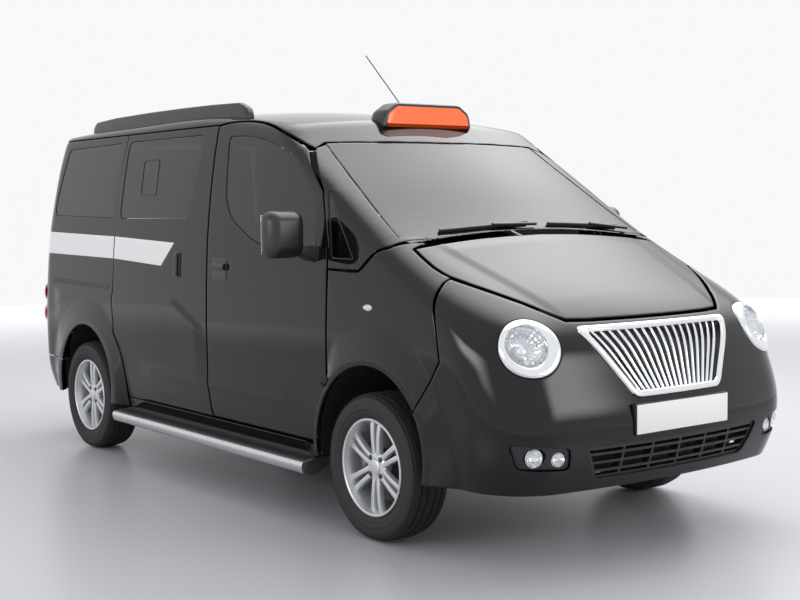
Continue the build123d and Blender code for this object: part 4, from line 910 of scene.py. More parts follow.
FOG_LAMPS = ((0.69, 0.44, 0.036), (0.603, 0.43, 0.029))
FOG_AXIS, FOG_ACROSS = np.array([0.966, 0.259, 0.0]), np.array([-0.259, 0.966, 0.0])
FOG_CUP = ((0.99, -0.05), (0.99, -0.014), (0.93, -0.012), (0.8, -0.02), (0.6, -0.034), (0.3, -0.041),
           (0, -0.043), (0, -0.05))
FOG_DOME = ((0.86, -0.02), (0.86, -0.0165), (0.7, -0.0125), (0.4, -0.0095), (0, -0.0085), (0, -0.0125),
            (0.4, -0.0135), (0.7, -0.0165))
FOG_MIDDLE = 0.001
fog_holes = [ellipse(y, z, r, r, 36) for y, z, r in FOG_LAMPS]
fog_panel = pressed(on_front, grown(fog_ring, -0.001), fog_holes, depth=0.035, spacing=0.012, sunk=0.01)
piece_of("fog_corner_panels", both_sides(fog_panel), [dark_plastic] * 2, "chassis",
         ["fog_panels"])
fogs, fog_glasses = [], []
for y, z, r in FOG_LAMPS:
    seat = on_front([(y, z)])[0]
    for made, profile in ((fogs, FOG_CUP), (fog_glasses, FOG_DOME)):
        made.append(turned([(r * share or FOG_MIDDLE, height) for share, height in profile], seat, FOG_AXIS,
                           FOG_ACROSS, 40))
piece_of("fog_lamp_cups", both_sides(*fogs), [lamp_bright], "chassis")
piece_of("fog_lamp_glasses", both_sides(*fog_glasses), [clear_lens], "chassis", ["fog_lamps"])

# Number plate: a blank white plate of pressed aluminium in a thin moulded frame, screwed to the nose
# below the grille.
plate_white = finish("plate_white", (0.80, 0.80, 0.79), (0.86, 0.86, 0.85), 0.25, 0.35, 8.0)
PLATE_X, PLATE_Z, PLATE_THICK, PLATE_HALF, FRAME_LIP = 2.2085, 0.548, 0.003, (0.26, 0.0555), 0.004


def slab(low, high, edge=0.002, slot=0, steps=2):
    """Box between two corners with rounded edges."""
    low, high = np.array(low, float), np.array(high, float)
    inner, centre, loops = (high - low) / 2 - edge, (high + low) / 2, []
    turns = math.pi / 2 * (np.repeat(np.arange(4), steps + 1) + np.tile(np.arange(steps + 1) / steps, 4))
    square = np.repeat([(1, 1), (-1, 1), (-1, -1), (1, -1)], steps + 1, axis=0) * inner[:2]
    for half in (-1, 1):
        for k in range(steps + 1):
            turn = math.pi / 2 * (k / steps - (half < 0))
            flat = square + edge * math.cos(turn) * np.column_stack([np.cos(turns), np.sin(turns)])
            z = half * inner[2] + edge * math.sin(turn)
            loops.append(np.column_stack([flat, np.full(len(flat), z)]) + centre)
    return lofted(loops, slot)


wide, high = PLATE_HALF
plate = slab((PLATE_X, -wide, PLATE_Z - high), (PLATE_X + PLATE_THICK, wide, PLATE_Z + high), 0.0012)
wide, high = wide + FRAME_LIP, high + FRAME_LIP
plate_frame = slab((PLATE_X - 0.03, -wide, PLATE_Z - high), (PLATE_X + 0.001, wide, PLATE_Z + high), 0.001, 1)
piece_of("front_plate", joined(plate, plate_frame), [plate_white, dark_plastic], "chassis")

# Side stripe: a band of white vinyl film stuck to the sliding door and quarter panel, cut at the door's
# seam and cut off at a slant in front.
vinyl_white = finish("white_vinyl", (0.78, 0.78, 0.78), (0.84, 0.84, 0.84), 0.22, 0.3, 6.0, Coat_Weight=0.4)
SEAM_LOW_X, SEAM_HIGH_X, STRIPE_GAP = -1.0885, -1.0827, 0.006
STRIPE = {"depth": 0.0, "sunk": -0.0007, "spacing": 0.012, "hem": ((0.001, 0.0), (0.0, 0.0003))}
stripe_door = loop([(SEAM_LOW_X + STRIPE_GAP, 1.085), (-0.529, 1.062), (-0.392, 1.181),
                    (SEAM_HIGH_X + STRIPE_GAP, 1.204)])
stripe_back = loop([(-2.02, 1.096), (SEAM_LOW_X - STRIPE_GAP, 1.085), (SEAM_HIGH_X - STRIPE_GAP, 1.204),
                    (-2.02, 1.222)])
stripes = [pressed(on_side, stripe_door, **STRIPE),
           pressed(quarter_fan, quarter_fan.flat(on_side(stripe_back)), **STRIPE)]
piece_of("side_stripes", both_sides(*stripes), [vinyl_white] * 2, "chassis")

# Running boards: extruded aluminium steps with a ribbed dark rubber tread on top, bolted to brackets
# under the sill.
brushed_step = finish("bright_step", (0.55, 0.56, 0.57), (0.68, 0.69, 0.70), 0.22, 0.38, 30.0, Metallic=1.0)
step_tread = finish("step_tread", (0.02, 0.02, 0.02), (0.04, 0.04, 0.04), 0.5, 0.7, 200.0, 0.3)
STEP_X, TREAD_END, RIB_END, RIB_COUNT, RIB_PITCH = (-0.96, 0.90), 0.02, 0.03, 7, 0.016
STEP = [(0.735, 0.285), (0.80, 0.2845), (0.893, 0.2725), (0.901, 0.269), (0.9055, 0.26), (0.906, 0.248),
        (0.901, 0.233), (0.894, 0.222), (0.85, 0.208), (0.735, 0.25)]
STEP_TREAD = [(0.756, 0.2845), (0.80, 0.286), (0.886, 0.2758), (0.886, 0.2720), (0.756, 0.281)]


def bar_along(section, end=0.0, slot=0):
    """Section of (y, z) points drawn along the step, short of its ends."""
    section = np.asarray(section, float)
    return lofted([np.column_stack([np.full(len(section), x), section])
                   for x in (STEP_X[0] + end, STEP_X[1] - end)], slot)


step_bars = [bar_along(STEP), bar_along(STEP_TREAD, TREAD_END, 1)]
for k in range(RIB_COUNT):
    y, top = 0.762 + RIB_PITCH * k, 0.288 - 0.0013 * max(k - 2, 0)
    rib = [(y, 0.2845), (y + 0.008, 0.2845), (y + 0.006, top), (y + 0.002, top)]
    step_bars.append(bar_along(rib, RIB_END, 1))
piece_of("running_boards", both_sides(*step_bars), [brushed_step, step_tread], "chassis",
         ["side_steps"], sharp=50)

# Wheel arch liners: shells of moulded black plastic over each wheel, clipped to the wells inside and to
# the folded edge of the arch outside, so that road spray stays out.
LINER, LINER_OFF, LINER_Y, LINER_TURN, LINER_STEPS = 0.010, 0.004, (0.71, 0.82), (-8, 188), 48
dress(dark_plastic, "wheel_wells")
bands = []
for x, radius in ARCHES:
    near, far = radius + LINER_OFF, radius + LINER_OFF + LINER
    section = [(near, LINER_Y[0]), (far, LINER_Y[0]), (far, LINER_Y[1]), (near, LINER_Y[1])]
    bands.append(lofted([[(x + r * math.cos(a), y, ARCH_Z + r * math.sin(a)) for r, y in section]
                         for a in np.radians(np.linspace(*LINER_TURN, LINER_STEPS))]))
piece_of("arch_liners", both_sides(*bands), [dark_plastic], "chassis")

# Tyres: radial road tyres, vulcanised rubber on a fabric carcass, with ringed sidewalls and a tread of
# five rows of blocks. One pitch of tread is repeated round the tyre.
tyre_rubber = finish("tyre_rubber", (0.012, 0.012, 0.012), (0.024, 0.024, 0.024), 0.62, 0.85, 70.0, 0.2)
repeat_group = bpy.data.node_groups.new("turned_repeat", "GeometryNodeTree")
repeat_sockets = {}
for name, way, kind in (("Geometry", "INPUT", "Geometry"), ("Count", "INPUT", "Int"),
                        ("Material", "INPUT", "Material"), ("Whole", "OUTPUT", "Geometry")):
    repeat_sockets[name] = repeat_group.interface.new_socket(name, in_out=way,
                                                                 socket_type="NodeSocket" + kind)
group_in, group_out = added(repeat_group, "NodeGroupInput"), added(repeat_group, "NodeGroupOutput")
line_node = added(repeat_group, "GeometryNodeMeshLine", Offset=(0, 0, 0))
index_node = added(repeat_group, "GeometryNodeInputIndex")
turn_node = added(repeat_group, "ShaderNodeMath", "MULTIPLY")
turn_node.inputs[1].default_value = 2 * math.pi
share_node = added(repeat_group, "ShaderNodeMath", "DIVIDE")
spin_node = added(repeat_group, "ShaderNodeCombineXYZ")
copy_node = added(repeat_group, "GeometryNodeInstanceOnPoints")
real_node = added(repeat_group, "GeometryNodeRealizeInstances")
coat_node = added(repeat_group, "GeometryNodeSetMaterial")
wire(repeat_group, (group_in, "Count", line_node, "Count"), (line_node, "Mesh", copy_node, "Points"),
     (group_in, "Geometry", copy_node, "Instance"), (index_node, "Index", turn_node, 0),
     (turn_node, "Value", share_node, 0), (group_in, "Count", share_node, 1),
     (share_node, "Value", spin_node, "Y"),
     (spin_node, "Vector", copy_node, "Rotation"), (copy_node, "Instances", real_node, "Geometry"),
     (real_node, "Geometry", coat_node, "Geometry"), (group_in, "Material", coat_node, "Material"),
     (coat_node, "Geometry", group_out, "Whole"))


def repeated(name, shape, count, material):
    """The shape copied at even angles round the Y axis."""
    verts, faces, _ = shape
    mesh = bpy.data.meshes.new(name)
    mesh.from_pydata(verts.tolist(), [], faces)
    carrier = bpy.data.objects.new(name, mesh)
    bpy.context.scene.collection.objects.link(carrier)
    copies = carrier.modifiers.new("copies", "NODES")
    copies.node_group = repeat_group
    copies[repeat_sockets["Count"].identifier] = count
    copies[repeat_sockets["Material"].identifier] = material
    graph = bpy.context.evaluated_depsgraph_get()
    whole = bpy.data.meshes.new_from_object(carrier.evaluated_get(graph))
    carrier.modifiers.remove(copies)
    bpy.data.objects.remove(carrier)
    points = np.array([v.co[:] for v in whole.vertices])
    rings = [tuple(p.vertices) for p in whole.polygons]
    bpy.data.meshes.remove(whole)
    bpy.data.meshes.remove(mesh)
    return points, rings, [0] * len(rings)


TYRE_HALF = [(0.1902, 0.0743), (0.2015, 0.0746), (0.209, 0.0795), (0.2175, 0.0838), (0.2195, 0.0855),
             (0.2215, 0.0852),
             (0.2235, 0.0868), (0.2255, 0.0866), (0.238, 0.0902), (0.2395, 0.0918), (0.2415, 0.0918),
             (0.243, 0.0909),
             (0.254, 0.0922), (0.2665, 0.0916), (0.277, 0.0888), (0.2855, 0.0835), (0.2908, 0.076),
             (0.2938, 0.064),
             (0.2945, 0.054), (0.2915, 0.0525), (0.2915, 0.0485), (0.295, 0.047), (0.2955, 0.022),
             (0.292, 0.0205),
             (0.292, 0.0165), (0.2958, 0.015)]
tyre_profile = TYRE_HALF + [(r, -y) for r, y in reversed(TYRE_HALF)]
ALONG_Y, ALONG_X = np.array([0.0, 1.0, 0.0]), np.array([1.0, 0.0, 0.0])
tyre_body = turned(tyre_profile, np.zeros(3), ALONG_Y, ALONG_X, 96)
TREAD_COUNT = 66
TREAD_ROWS = ((-0.0005, 0.0145, 0.3008, 0.0), (0.0235, 0.0465, 0.3005, 0.004),
              (0.0548, 0.0755, 0.2985, 0.007))


def tread_block(y0, y1, top, skew, start, length):
    """One slanted block of rubber, standing on the carcass."""
    corners = []
    for radius in (0.2885, top):
        fall = 0.004 if abs(y1) > 0.07 and radius == top else 0.0
        for y, drop in ((y0, 0.0), (y1, fall)):
            for x in (start, start + length):
                shift = skew * (abs(y) - abs(y0)) / max(abs(y1 - y0), 1e-6)
                angle = (x + shift) / 0.3
                corners.append(((radius - drop) * math.sin(angle), y, (radius - drop) * math.cos(angle)))
    faces = [(0, 2, 3, 1), (4, 5, 7, 6), (0, 1, 5, 4), (1, 3, 7, 5), (3, 2, 6, 7), (2, 0, 4, 6)]
    return outward((np.array(corners), faces, [0] * 6))


pitch = 2 * math.pi * 0.3 / TREAD_COUNT
blocks = []
for y0, y1, top, skew in TREAD_ROWS:
    for sign in (1, -1):
        for start in (0.0, 0.5):
            blocks.append(tread_block(sign * y0, sign * y1, top, skew, (start + 0.04) * pitch, 0.40 * pitch))
for sign in (1, -1):
    for start in (0.02, 0.35, 0.68):
        blocks.append(tread_block(sign * 0.0765, sign * 0.0862, 0.2900, 0.002, start * pitch, 0.2 * pitch))
tyre_shape = joined(tyre_body, repeated("tread", joined(*blocks), TREAD_COUNT, tyre_rubber))
CORNERS = {"front_left": (1.292, 1, "wheel_fl"), "front_right": (1.292, -1, "wheel_fr"),
           "rear_left": (-1.433, 1, "wheel_rl"), "rear_right": (-1.433, -1, "wheel_rr")}
WHEEL_Y, WHEEL_Z = 0.745, 0.301


def at_corner(shape, corner):
    """A wheel piece, made facing left at the origin, moved to its corner of the car."""
    x, side, _ = CORNERS[corner]
    verts, faces, slots = shape if side > 0 else mirrored(shape)
    return verts + np.array([x, side * WHEEL_Y, WHEEL_Z]), faces, slots


for corner, (_, _, body) in CORNERS.items():
    piece_of("road_tyre_" + corner, at_corner(tyre_shape, corner), [tyre_rubber], body,
             ["tyre_" + corner])

# Road wheels: one aluminium casting of rim, hub and six pairs of spokes, silver, its turned lip given the
# same finish as the rest, held by four nuts, with the brake behind it.
alloy = finish("alloy", (0.62, 0.63, 0.64), (0.70, 0.71, 0.72), 0.30, 0.40, 24.0, Metallic=0.7)
dark_steel = finish("dark_steel", (0.06, 0.06, 0.062), (0.12, 0.12, 0.122), 0.35, 0.55, 60.0, Metallic=0.9)
RIM = [(0.2005, 0.0808), (0.1985, 0.0836), (0.1935, 0.084), (0.1895, 0.081), (0.1878, 0.0735),
       (0.1842, 0.0625),
       (0.1805, 0.046), (0.177, 0.02), (0.1765, -0.02), (0.179, -0.06), (0.186, -0.075), (0.1995, -0.081),
       (0.1998, -0.0748), (0.1896, -0.0738), (0.1896, 0.0738), (0.1999, 0.0748)]
rim = turned(RIM, np.zeros(3), ALONG_Y, ALONG_X, 96)
HUB = [(0.058, 0.018), (0.0625, 0.04), (0.061, 0.05), (0.055, 0.0562), (0.045, 0.0588), (0.0345, 0.0592),
       (0.0318, 0.0572), (0.0308, 0.0588), (0.0298, 0.0622), (0.026, 0.0645), (0.014, 0.0658), (0.004, 0.066)]
hub = turned(HUB, np.zeros(3), ALONG_Y, ALONG_X, 64, closed=False)
SPOKE_SECTION = [(-1.0, -1.0), (-1.0, -0.3), (-0.82, -0.06), (-0.4, 0.0), (0.4, 0.0), (0.82, -0.06),
                 (1.0, -0.3),
                 (1.0, -1.0)]
SPOKE_LINE = [(0.040, 0.0135, 0.0118, 0.057, 0.022), (0.075, 0.0155, 0.0108, 0.0605, 0.024),
              (0.115, 0.0185, 0.0108, 0.0615, 0.023), (0.155, 0.0220, 0.0118, 0.060, 0.022),
              (0.176, 0.0245, 0.0140, 0.0575, 0.024), (0.1855, 0.0265, 0.0165, 0.0545, 0.028)]


def spoke_of(sign):
    """One spoke of a pair, lofted upwards from the hub to the rim."""
    return lofted([[(sign * offset + half * a, face + depth * b, -radius) for a, b in SPOKE_SECTION]
                   for radius, offset, half, face, depth in SPOKE_LINE])


spokes = repeated("spokes", joined(spoke_of(1), spoke_of(-1)), 6, alloy)
NUT_AT = 0.0475 * np.array([math.sqrt(0.5), 0, math.sqrt(0.5)])
NUT = [(0.0115, 0.05), (0.0115, 0.0592), (0.0095, 0.0592), (0.0095, 0.0615), (0.0075, 0.0635)]
nuts = repeated("nuts", turned(NUT, NUT_AT, ALONG_Y, ALONG_X, 12, closed=False), 4, dark_steel)
BRAKE = [(0.15, -0.02), (0.15, -0.004), (0.125, -0.002), (0.124, 0.003), (0.07, 0.004), (0.066, 0.022)]
brake = turned(BRAKE, np.zeros(3), ALONG_Y, ALONG_X, 64, closed=False)
wheel_shape = joined(rim, hub, spokes, in_slot(nuts, 1), in_slot(brake, 1))
for corner, (_, _, body) in CORNERS.items():
    piece_of("alloy_wheel_" + corner, at_corner(wheel_shape, corner), [alloy, dark_steel], body,
             ["wheel_" + corner], sharp=35)

# Door mirrors: moulded black plastic heads on short arms, screwed to the doors, with a mirror pane
# let into the rear face.
satin_plastic = finish("satin_plastic", (0.014, 0.014, 0.015), (0.022, 0.022, 0.023), 0.26, 0.4, 320.0, 0.06)
mirror_silver = finish("mirror_silver", (0.82, 0.83, 0.84), (0.86, 0.87, 0.88), 0.0, 0.02, 4.0, Metallic=1.0)
MIRROR_LOW, MIRROR_HIGH = np.array([0.809, 0.864, 1.138]), np.array([0.921, 1.05, 1.342])


def mirror_head():
    """Housing rounded all over, narrower at its front and lower outer corner."""
    verts, faces, slots = slab(MIRROR_LOW, MIRROR_HIGH, 0.046, steps=6)
    share = (verts[:, 0] - MIRROR_LOW[0]) / (MIRROR_HIGH[0] - MIRROR_LOW[0])
    middle = (MIRROR_LOW + MIRROR_HIGH) / 2
    verts = verts.copy()
    verts[:, 1:] = middle[1:] + (verts[:, 1:] - middle[1:]) * (1.0 - 0.14 * share ** 2)[:, None]
    return verts, faces, slots


ARM_RINGS = ((0.80, 0.915, 1.118, 1.192, 0.79), (0.806, 0.908, 1.128, 1.188, 0.83),
             (0.818, 0.9, 1.145, 1.192, 0.87),
             (0.828, 0.895, 1.155, 1.2, 0.91))
arm_section = loop(rounded([(-1, -1), (1, -1), (1, 1), (-1, 1)], 0.5, 3), 0.5)
arm_loops = []
for x0, x1, z0, z1, y in ARM_RINGS:
    arm_loops.append(np.column_stack([(x0 + x1) / 2 + (x1 - x0) / 2 * arm_section[:, 0],
                                      np.full(len(arm_section), y),
                                      (z0 + z1) / 2 + (z1 - z0) / 2 * arm_section[:, 1]]))
arm = lofted(arm_loops)
mirror_pane = slab((0.8072, 0.884, 1.158), (0.8105, 1.03, 1.322), 0.0012, 1)
mirror = joined(mirror_head(), arm, mirror_pane)
on_doors("door_mirror", mirror, [satin_plastic, mirror_silver], "mirror")


# Door handles: moulded black pulls in shallow cups, screwed on from inside, level on the front doors and
# upright on the sliding ones.
def handle_of(place, x, z, wide, high, upright):
    """Cup and pull at a place on the side."""
    corners = [(x + a * wide / 2, z + b * high / 2) for a, b in ((-1, -1), (1, -1), (1, 1), (-1, 1))]
    cup = pressed(place, loop(rounded(corners, 0.018), 0.008), depth=0.004, sunk=-0.003, spacing=0.012,
                  hem=((0.003, 0.0), (0.0008, 0.0006), (0.0, 0.0022)))
    reach = (0, 0.42 * high) if upright else (0.44 * wide, 0)
    rise = 0 if upright else 0.1 * high
    ends = [(x + sign * reach[0], z + rise + sign * reach[1]) for sign in (-1, 1)]
    pull = strip(ends, 0.03 if upright else 0.032, place, 0.012, 0.012, steps=12, crown=0.007)
    return joined(in_slot(cup, 0), pull)


slide_handle = handle_of(on_side, -0.351, 1.072, 0.062, 0.135, True)
piece_of("sliding_door_handles", both_sides(slide_handle), [satin_plastic], "chassis")
front_handle = handle_of(on_side_plain, 0.078, 1.065, 0.13, 0.105, False)
on_doors("front_door_handle", front_handle, [satin_plastic])

# Slide rails, side repeaters and the frame of the sliding door's small pane: a dark steel channel that
# guides the door's roller, a clear lamp clipped into the wing, and a thin moulded frame.
RAIL_RING = [(-1.92, 0.928), (-1.144, 0.912), (-1.144, 0.942), (-1.92, 0.955)]
slide_rail = pressed(quarter_fan, quarter_fan.flat(on_side(loop(RAIL_RING))), depth=0.0, sunk=-0.001,
                     hem=((0.002, 0.0), (0.0, 0.0006)))
piece_of("slide_rails", both_sides(slide_rail), [dark_plastic] * 2, "chassis")
repeater = pressed(on_side, ellipse(1.278, 0.948, 0.03, 0.013, 28), depth=0.0, sunk=-0.006, spacing=0.008,
                   hem=((0.006, 0.0), (0.003, 0.001), (0.0, 0.005)))
lamp_white = finish("repeater_lens", (0.62, 0.60, 0.56), (0.72, 0.70, 0.66), 0.05, 0.12, 20.0,
                    Coat_Weight=1.0)
piece_of("side_repeaters", both_sides(repeater), [lamp_white] * 2, "chassis")
hatch_ring = loop(rounded([(-0.81, 1.42), (-0.63, 1.42), (-0.63, 1.61), (-0.81, 1.61)], 0.03), 0.01)
hatch = pressed(on_side, hatch_ring, [grown(hatch_ring, -0.007)], depth=0.003, sunk=-0.0005, spacing=0.01,
                hem=((0.002, 0.0), (0.0, 0.0006)))
piece_of("sliding_pane_frames", both_sides(hatch), [dark_plastic] * 2, "chassis")

# Roof rails: bars of painted steel along both edges of the roof, bolted down through their feet and
# rounded off at the ends.
RAIL_INNER_Y, RAIL_OUTER_Y, RAIL_EDGE, RAIL_SEAT = 0.602, 0.64, 0.008, 0.012
RAIL_X = [-1.69, -1.685, -1.67, -1.64, -1.4, -1.0, -0.6, -0.3, -0.03, 0.02, 0.05, 0.06]
RAIL_TOP = [1.80, 1.826, 1.842, 1.855, 1.866, 1.871, 1.871, 1.868, 1.861, 1.846, 1.828, 1.80]
rail_loops = []
for x, top in zip(RAIL_X, RAIL_TOP):
    low = crown_at(np.array([x]))[0] - CROWN_DROP - RAIL_SEAT
    half = [(RAIL_INNER_Y, low), (RAIL_INNER_Y, top - RAIL_EDGE),
            (RAIL_INNER_Y + 0.3 * RAIL_EDGE, top - 0.3 * RAIL_EDGE), (RAIL_INNER_Y + RAIL_EDGE, top)]
    rail_loops.append([(x, y, z) for y, z in half]
                      + [(x, RAIL_INNER_Y + RAIL_OUTER_Y - y, z) for y, z in reversed(half)])
piece_of("roof_rail_bars", both_sides(lofted(rail_loops)), [satin_plastic], "chassis",
         ["roof_rails"], sharp=50)

# Roof sign: a moulded black case with a blank orange diffuser of lit acrylic in front, bolted to the
# roof, and the whip aerial beside it.
orange_lens = finish("orange_lens", (0.78, 0.10, 0.012), (0.84, 0.13, 0.016), 0.2, 0.3, 12.0, Coat_Weight=0.6,
                     Emission_Color=(1.0, 0.16, 0.02, 1), Emission_Strength=0.35)
SIGN = both_halves([(0.262, 1.715), (0.258, 1.765), (0.246, 1.795), (0.188, 1.834)])
sign_ring = loop(rounded(SIGN, 0.016), 0.02)
SIGN_LEVELS = ((0.52, -0.03), (0.523, -0.018), (0.532, -0.007), (0.55, -0.001), (0.57, 0.0), (0.635, 0.0),
               (0.644, -0.002), (0.649, -0.006), (0.650, -0.011))
DIFFUSER_LEVELS, DIFFUSER_RIM = ((0.642, 0.0), (0.6505, 0.0), (0.6525, -0.0015), (0.653, -0.004)), 0.017


def stacked(ring, levels):
    """Outline of (y, z) points stacked along the car, each level drawn in by its own amount."""
    return lofted([np.column_stack([np.full(len(ring), x), grown(ring, by)]) for x, by in levels])


piece_of("sign_case", stacked(sign_ring, SIGN_LEVELS), [satin_plastic], "chassis",
         ["roof_sign"])
sign_face = stacked(grown(sign_ring, -DIFFUSER_RIM), DIFFUSER_LEVELS)
piece_of("sign_diffuser", sign_face, [orange_lens], "chassis", ["sign_lens"])
dress(satin_plastic, "aerial")

# Wipers: two painted steel arms with rubber blades, fixed to the wiper shafts and parked along the foot
# of the windscreen.
WIPERS = (((0.02, 1.262), (-0.22, 1.262), (-0.50, 1.246)), ((0.60, 1.232), (0.36, 1.256), (0.10, 1.266)))
BLADE_BACK = 0.75
wipers = []
for root, elbow, tip in np.array(WIPERS):
    wipers.append(strip([root, elbow], 0.014, on_front, 0.016, 0.008, steps=8, crown=0.003))
    lean = tip - elbow
    wipers.append(strip([elbow - lean * BLADE_BACK, elbow + lean], 0.009, on_front, 0.010, 0.010, steps=8,
                        crown=0.003))
piece_of("screen_wipers", joined(*wipers), [satin_plastic], "chassis")

# Tailgate fittings: a moulded grip strip over the blank number plate, both screwed to the tailgate.
# The plate is the same white pressed aluminium as in front.
grip_ring = loop(rounded(both_halves([(0.34, 0.985), (0.34, 1.045)]), 0.015), 0.015)
gate_grip = pressed(on_back, grip_ring, depth=0.0, sunk=-0.014, spacing=0.02,
                    hem=((0.01, 0.0), (0.004, 0.002), (0.0, 0.012)))
piece_of("tailgate_grip", gate_grip, [satin_plastic] * 2, "tailgate_lid")
rear_plate_ring = loop(rounded(both_halves([(0.26, 0.845), (0.26, 0.956)]), 0.008), 0.02)
gate_plate = pressed(on_back, rear_plate_ring, depth=0.0, sunk=-0.004, spacing=0.03,
                     hem=((0.003, 0.0), (0.0, 0.002)))
piece_of("rear_plate", gate_plate, [plate_white] * 2, "tailgate_lid")

# Seats: foam cushions in leather-grained covers on moulded bases, with a crowned seat and back, two sewn
# channels each and a head pad. The swelling is shaped in code.
seat_leather = finish("seat_trim", (0.016, 0.016, 0.018), (0.03, 0.03, 0.032), 0.42, 0.6, 180.0, 0.35)


def cushion(half, crown, channels, cells=(14, 14, 5)):
    """Crowned closed pad about the origin: sides drawn in between corners, channels across its top."""
    rows, index, faces = [], {}, []

    def vertex(p):
        key = tuple(np.round(p, 5))
        if key not in index:
            index[key] = len(rows)
            rows.append(p)
        return index[key]

    for axis in range(3):
        a, b = [k for k in range(3) if k != axis]
        for end in (-1, 1):
            for i in range(cells[a]):
                for j in range(cells[b]):
                    quad = []
                    for di, dj in ((0, 0), (1, 0), (1, 1), (0, 1)):
                        p = np.zeros(3)
                        p[axis] = end
                        p[a], p[b] = 2 * (i + di) / cells[a] - 1, 2 * (j + dj) / cells[b] - 1
                        quad.append(vertex(p))
                    faces.append(tuple(quad))
    p = np.array(rows)
    fat = 1 - 0.13 * (p[:, [1]] ** 2 * p[:, [2]] ** 2) - 0.07 * p[:, [0]] ** 2 * p[:, [2]] ** 2
    shape = p * np.array(half) * fat
    bulge = (1 - p[:, 0] ** 2) * (1 - p[:, 1] ** 2)
    shape[:, 2] += np.where(p[:, 2] > 0, crown * bulge, 0) * np.clip(p[:, 2], 0, 1)
    for line in channels:
        shape[:, 2] -= np.where(p[:, 2] > 0.99, 0.009 * np.exp(-((p[:, 1] - line) / 0.07) ** 2), 0)
    shape[:, :2] *= 1 - 0.03 * (1 - np.abs(p[:, [2]]))
    return outward((shape, faces, [0] * len(faces)))


def turned_to(shape, lean, place):
    """Pad leaned back by an angle in degrees and moved to its place."""
    a = math.radians(lean)
    matrix = np.array([[math.cos(a), 0, math.sin(a)], [0, 1, 0], [-math.sin(a), 0, math.cos(a)]])
    return shape[0] @ matrix.T + np.array(place), shape[1], shape[2]


SEAT_Y = 0.37
seat_pads, seat_bases = [], []
for y in (SEAT_Y, -SEAT_Y):
    seat_pads += [turned_to(cushion((0.245, 0.235, 0.068), 0.022, (-0.5, 0.5)), -4, (0.205, y, 0.612)),
                  turned_to(cushion((0.27, 0.232, 0.062), 0.02, (-0.5, 0.5)), -72, (0.0, y, 0.905)),
                  turned_to(cushion((0.085, 0.14, 0.048), 0.015, ()), -72, (-0.118, y, 1.205))]
    seat_bases.append(slab((-0.03, y - 0.21, 0.326), (0.40, y + 0.21, 0.56), 0.02))
front_pads = piece_of("front_seat_pads", joined(*seat_pads), [seat_leather], "chassis",
                      ["front_seats"], sharp=80)
piece_of("front_seat_bases", joined(*seat_bases), [dark_plastic], "chassis")
BENCH_FLUTES, BENCH_CELLS = (-0.34, 0.34), (14, 24, 5)
bench_pads = [turned_to(cushion((0.24, 0.52, 0.07), 0.02, BENCH_FLUTES, BENCH_CELLS), -4, (-0.89, 0.0, 0.63)),
              turned_to(cushion((0.27, 0.52, 0.062), 0.02, BENCH_FLUTES, BENCH_CELLS), -72,
                        (-1.085, 0.0, 0.915))]
for y in (-0.34, 0.0, 0.34):
    bench_pads.append(turned_to(cushion((0.06, 0.12, 0.045), 0.012, ()), -72, (-1.2, y, 1.2)))
rear_pads = piece_of("rear_bench_pads", joined(*bench_pads), [seat_leather], "chassis",
                     ["rear_bench"], sharp=80)
bench_base = slab((-1.12, -0.48, 0.326), (-0.72, 0.48, 0.58), 0.02)
piece_of("rear_bench_base", bench_base, [dark_plastic], "chassis")

# Dashboard and steering wheel: moulded plastic in grained dark grey over steel brackets, bolted to the
# bulkhead and the column.
grained_grey = finish("grained_grey", (0.022, 0.022, 0.024), (0.04, 0.04, 0.042), 0.55, 0.75, 300.0, 0.3)
dress(grained_grey, "dashboard", "steering_wheel")

# Studio: a pale grey floor that fades into a white backdrop far from the car, soft-edged lamps above, in
# front and at the right, and the camera at the photograph's angle.
BACKDROP = (0.93, 0.94, 0.96, 1)
FLOOR_HALF, FLOOR_FADE, FLOOR_GLOSS, AIR_LIGHT = 60, (5.0, 13.0), 0.5, 0.85


def seen_directly(tree):
    """Mask of the rays that show the backdrop itself: seen, mirrored or through glass."""
    path_node = added(tree, "ShaderNodeLightPath")
    mask = path_node.outputs["Is Camera Ray"]
    for kind in ("Is Glossy Ray", "Is Transmission Ray"):
        either = added(tree, "ShaderNodeMath", "MAXIMUM")
        tree.links.new(mask, either.inputs[0])
        wire(tree, (path_node, kind, either, 1))
        mask = either.outputs["Value"]
    return mask


floor_mesh = bpy.data.meshes.new("studio_floor")
floor_mesh.from_pydata([(FLOOR_HALF * a, FLOOR_HALF * b, 0) for a, b in
                        ((-1, -1), (1, -1), (1, 1), (-1, 1))], [], [(0, 1, 2, 3)])
floor_paint = finish("studio_floor", (0.47, 0.47, 0.50), (0.50, 0.50, 0.53), 0.30, 0.34, 0.6,
                     Emission_Color=BACKDROP)
floor_tree = floor_paint.node_tree
floor_shader = floor_tree.nodes["Principled BSDF"]
floor_colour = floor_shader.inputs["Base Color"].links[0].from_socket
floor_place = added(floor_tree, "ShaderNodeTexCoord")
floor_far = added(floor_tree, "ShaderNodeVectorMath", "LENGTH")
floor_fade = added(floor_tree, "ShaderNodeMapRange", From_Min=FLOOR_FADE[0], From_Max=FLOOR_FADE[1])
floor_fade.interpolation_type = "SMOOTHSTEP"
floor_dark = added(floor_tree, "ShaderNodeMix")
floor_dark.data_type = "RGBA"
floor_dark.inputs["B"].default_value = (0, 0, 0, 1)
floor_glow = added(floor_tree, "ShaderNodeMath", "MULTIPLY")
floor_gloss = added(floor_tree, "ShaderNodeMath", "MULTIPLY_ADD")
floor_gloss.inputs[1].default_value, floor_gloss.inputs[2].default_value = -FLOOR_GLOSS, FLOOR_GLOSS
floor_tree.links.new(floor_colour, floor_dark.inputs["A"])
floor_tree.links.new(seen_directly(floor_tree), floor_glow.inputs[1])
